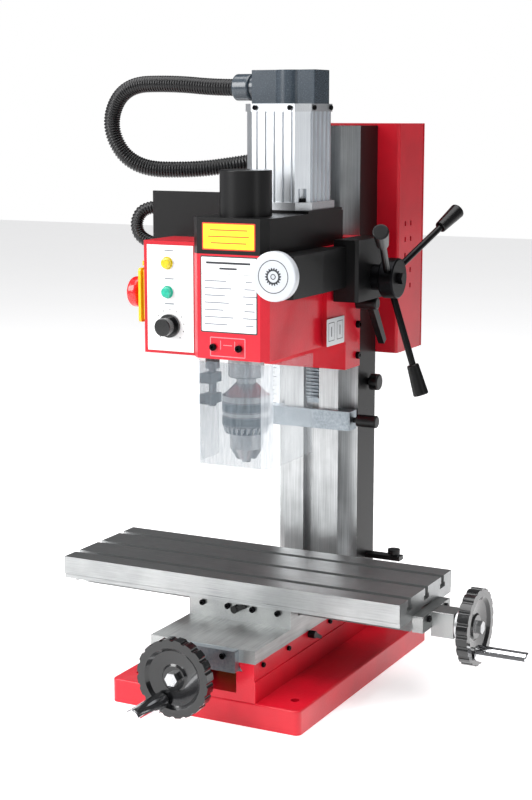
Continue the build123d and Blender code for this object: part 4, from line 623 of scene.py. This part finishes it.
# %% Knob emblem
def disc_ring(name, body, material, centre_mm, inner_mm, outer_mm, lift_mm, teeth=0):
    """A flat ring facing -Y, with square teeth outside if asked."""
    mesh = bmesh.new()
    steps = max(72, teeth * 4)
    rows = []
    for depth in (0.0, lift_mm):
        row = []
        for k in range(steps):
            a = 2 * pi * k / steps
            out = outer_mm + (1.6 if teeth and k % 4 in (0, 1) else 0)
            row.append([mesh.verts.new(Vector((centre_mm[0] + r * cos(a), centre_mm[1] - depth,
                                               centre_mm[2] + r * sin(a))) * MM) for r in (inner_mm, out)])
        rows.append(row)
    back, face = rows
    for k in range(steps):
        j = (k + 1) % steps
        mesh.faces.new((face[k][0], face[k][1], face[j][1], face[j][0]))
        mesh.faces.new((back[k][0], back[j][0], back[j][1], back[k][1]))
        mesh.faces.new((face[k][1], back[k][1], back[j][1], face[j][1]))
        mesh.faces.new((face[k][0], face[j][0], back[j][0], back[k][0]))
    bmesh.ops.recalc_face_normals(mesh, faces=mesh.faces)
    return rides(as_object(mesh, name, material), body)


knob_x, knob_z = 57.0, 443.0
knob_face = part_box("fine_feed_knob")[0].y * 1000
disc_ring("knob_ring", "fine_feed", ink_dark, (knob_x, knob_face, knob_z), 15.6, 16.3, 0.15)
disc_ring("knob_gear_outline", "fine_feed", ink_dark, (knob_x, knob_face, knob_z), 5.6, 7.2, 0.15, teeth=12)
disc_ring("knob_gear_bore", "fine_feed", ink_dark, (knob_x, knob_face, knob_z), 2.0, 2.8, 0.15)

# %% Column strip
strip_left, strip_face, first_tick, tick_step = -58.6, 100.5 - 0.4, 275.0, 5
for k in range(0, 37):
    z = first_tick + tick_step * k
    reach = 6.0 if k % 2 == 0 else 3.6
    sheet_piece(f"column_tick_{k}", "frame", ink_dark, (strip_left + reach / 2, strip_face, z),
                (reach, 0.5), "-Y", 0.2, 0.12)

# %% [markdown]
# ## Floor, light and camera
# A pale floor that glows a little and large soft lamps copy a studio. The world is white to the
# camera. To the surfaces it is a ring of light and dark bearings, like a studio's black flags,
# which puts dark streaks into the polished steel. The camera stands 27 degrees to the right of
# the front and 10 degrees up, with a 73 mm lens, which keeps the machine's verticals nearly
# parallel.

# %% Floor
floor_mesh = bmesh.new()
bmesh.ops.create_grid(floor_mesh, x_segments=8, y_segments=8, size=6.0)
floor_data = bpy.data.meshes.new("studio_floor")
floor_mesh.to_mesh(floor_data)
floor_mesh.free()
floor = bpy.data.objects.new("studio_floor", floor_data)
bpy.context.collection.objects.link(floor)
floor_material, floor_tree, floor_shader = new_material("pale_paper_sweep")
paper = add(floor_tree, "ShaderNodeTexNoise", inputs={"Vector": stretched(floor_tree, (300, 300, 300)),
                                                      "Scale": 1.0})
floor_tree.links.new(ramp(floor_tree, paper.outputs["Fac"], 0.3, 0.7, linear("#F4F4F4"), linear("#F7F7F7")),
                     floor_shader.inputs["Base Color"])
floor_shader.inputs["Roughness"].default_value = 0.8
floor_shader.inputs["Emission Color"].default_value = (1, 1, 1, 1)
floor_shader.inputs["Emission Strength"].default_value = 0.55
floor_data.materials.append(floor_material)
floor.location.z = -0.0005


# %% Lights
def soft_lamp(name, place_m, size_m, watts, target=(0, 0, 0.32)):
    light = bpy.data.lights.new(name, "AREA")
    light.shape = "RECTANGLE"
    light.size, light.size_y = size_m
    light.energy = watts
    lamp = bpy.data.objects.new(name, light)
    bpy.context.collection.objects.link(lamp)
    lamp.location = place_m
    direction = Vector(target) - Vector(place_m)
    lamp.rotation_euler = direction.to_track_quat("-Z", "Y").to_euler()
    return lamp


soft_lamp("front_left_softbox", (-1.5, -1.8, 1.5), (1.3, 1.5), 62)
soft_lamp("overhead_bank", (0.1, -0.2, 2.3), (2.0, 2.0), 52)
soft_lamp("right_fill", (2.2, -0.6, 0.9), (0.5, 1.6), 5)
world = bpy.data.worlds.new("white_studio")
world.use_nodes = True
sky = world.node_tree
round_about = add(sky, "ShaderNodeSeparateXYZ",
                  inputs={"Vector": add(sky, "ShaderNodeTexCoord").outputs["Generated"]})
bearing = add(sky, "ShaderNodeMath", {"operation": "ARCTAN2"},
              {0: round_about.outputs["X"], 1: round_about.outputs["Y"]})
turn = add(sky, "ShaderNodeMapRange", inputs={"Value": bearing.outputs[0], "From Min": -pi, "From Max": pi})
flags = add(sky, "ShaderNodeValToRGB", inputs={"Fac": turn.outputs["Result"]})
flags.color_ramp.elements[0].position = 0.0
flags.color_ramp.elements[0].color = (0.9, 0.9, 0.9, 1)
flags.color_ramp.elements[1].position = 1.0
flags.color_ramp.elements[1].color = (0.9, 0.9, 0.9, 1)
for position, level in ((0.07, 0.12), (0.14, 0.95), (0.27, 0.8), (0.35, 0.1), (0.5, 0.35), (0.62, 0.1),
                        (0.7, 0.5), (0.8, 0.06), (0.88, 0.08), (0.94, 0.9)):
    flags.color_ramp.elements.new(position).color = (level, level, level * 1.03, 1)
lit = add(sky, "ShaderNodeBackground", inputs={"Color": flags.outputs["Color"], "Strength": 0.62})
seen = add(sky, "ShaderNodeBackground", inputs={"Color": (1, 1, 1, 1), "Strength": 1.0})
pick = add(sky, "ShaderNodeMixShader", inputs={0: add(sky, "ShaderNodeLightPath").outputs["Is Camera Ray"],
                                               1: lit.outputs[0], 2: seen.outputs[0]})
sky.links.new(pick.outputs[0], sky.nodes["World Output"].inputs["Surface"])
bpy.context.scene.world = world
bpy.context.scene.view_settings.view_transform = "Standard"

# %% Camera
camera_data = bpy.data.cameras.new("studio_camera")
camera_data.lens = 73.10
camera_data.sensor_width = 36
camera_data.clip_end = 50
camera = bpy.data.objects.new("studio_camera", camera_data)
bpy.context.collection.objects.link(camera)
camera.location = (0.7646, -1.5183, 0.5996)
azimuth, elevation = radians(27.166), radians(10.055)
back = Vector((sin(azimuth) * cos(elevation), -cos(azimuth) * cos(elevation), sin(elevation)))
camera.rotation_euler = back.to_track_quat("Z", "Y").to_euler()
bpy.context.scene.camera = camera
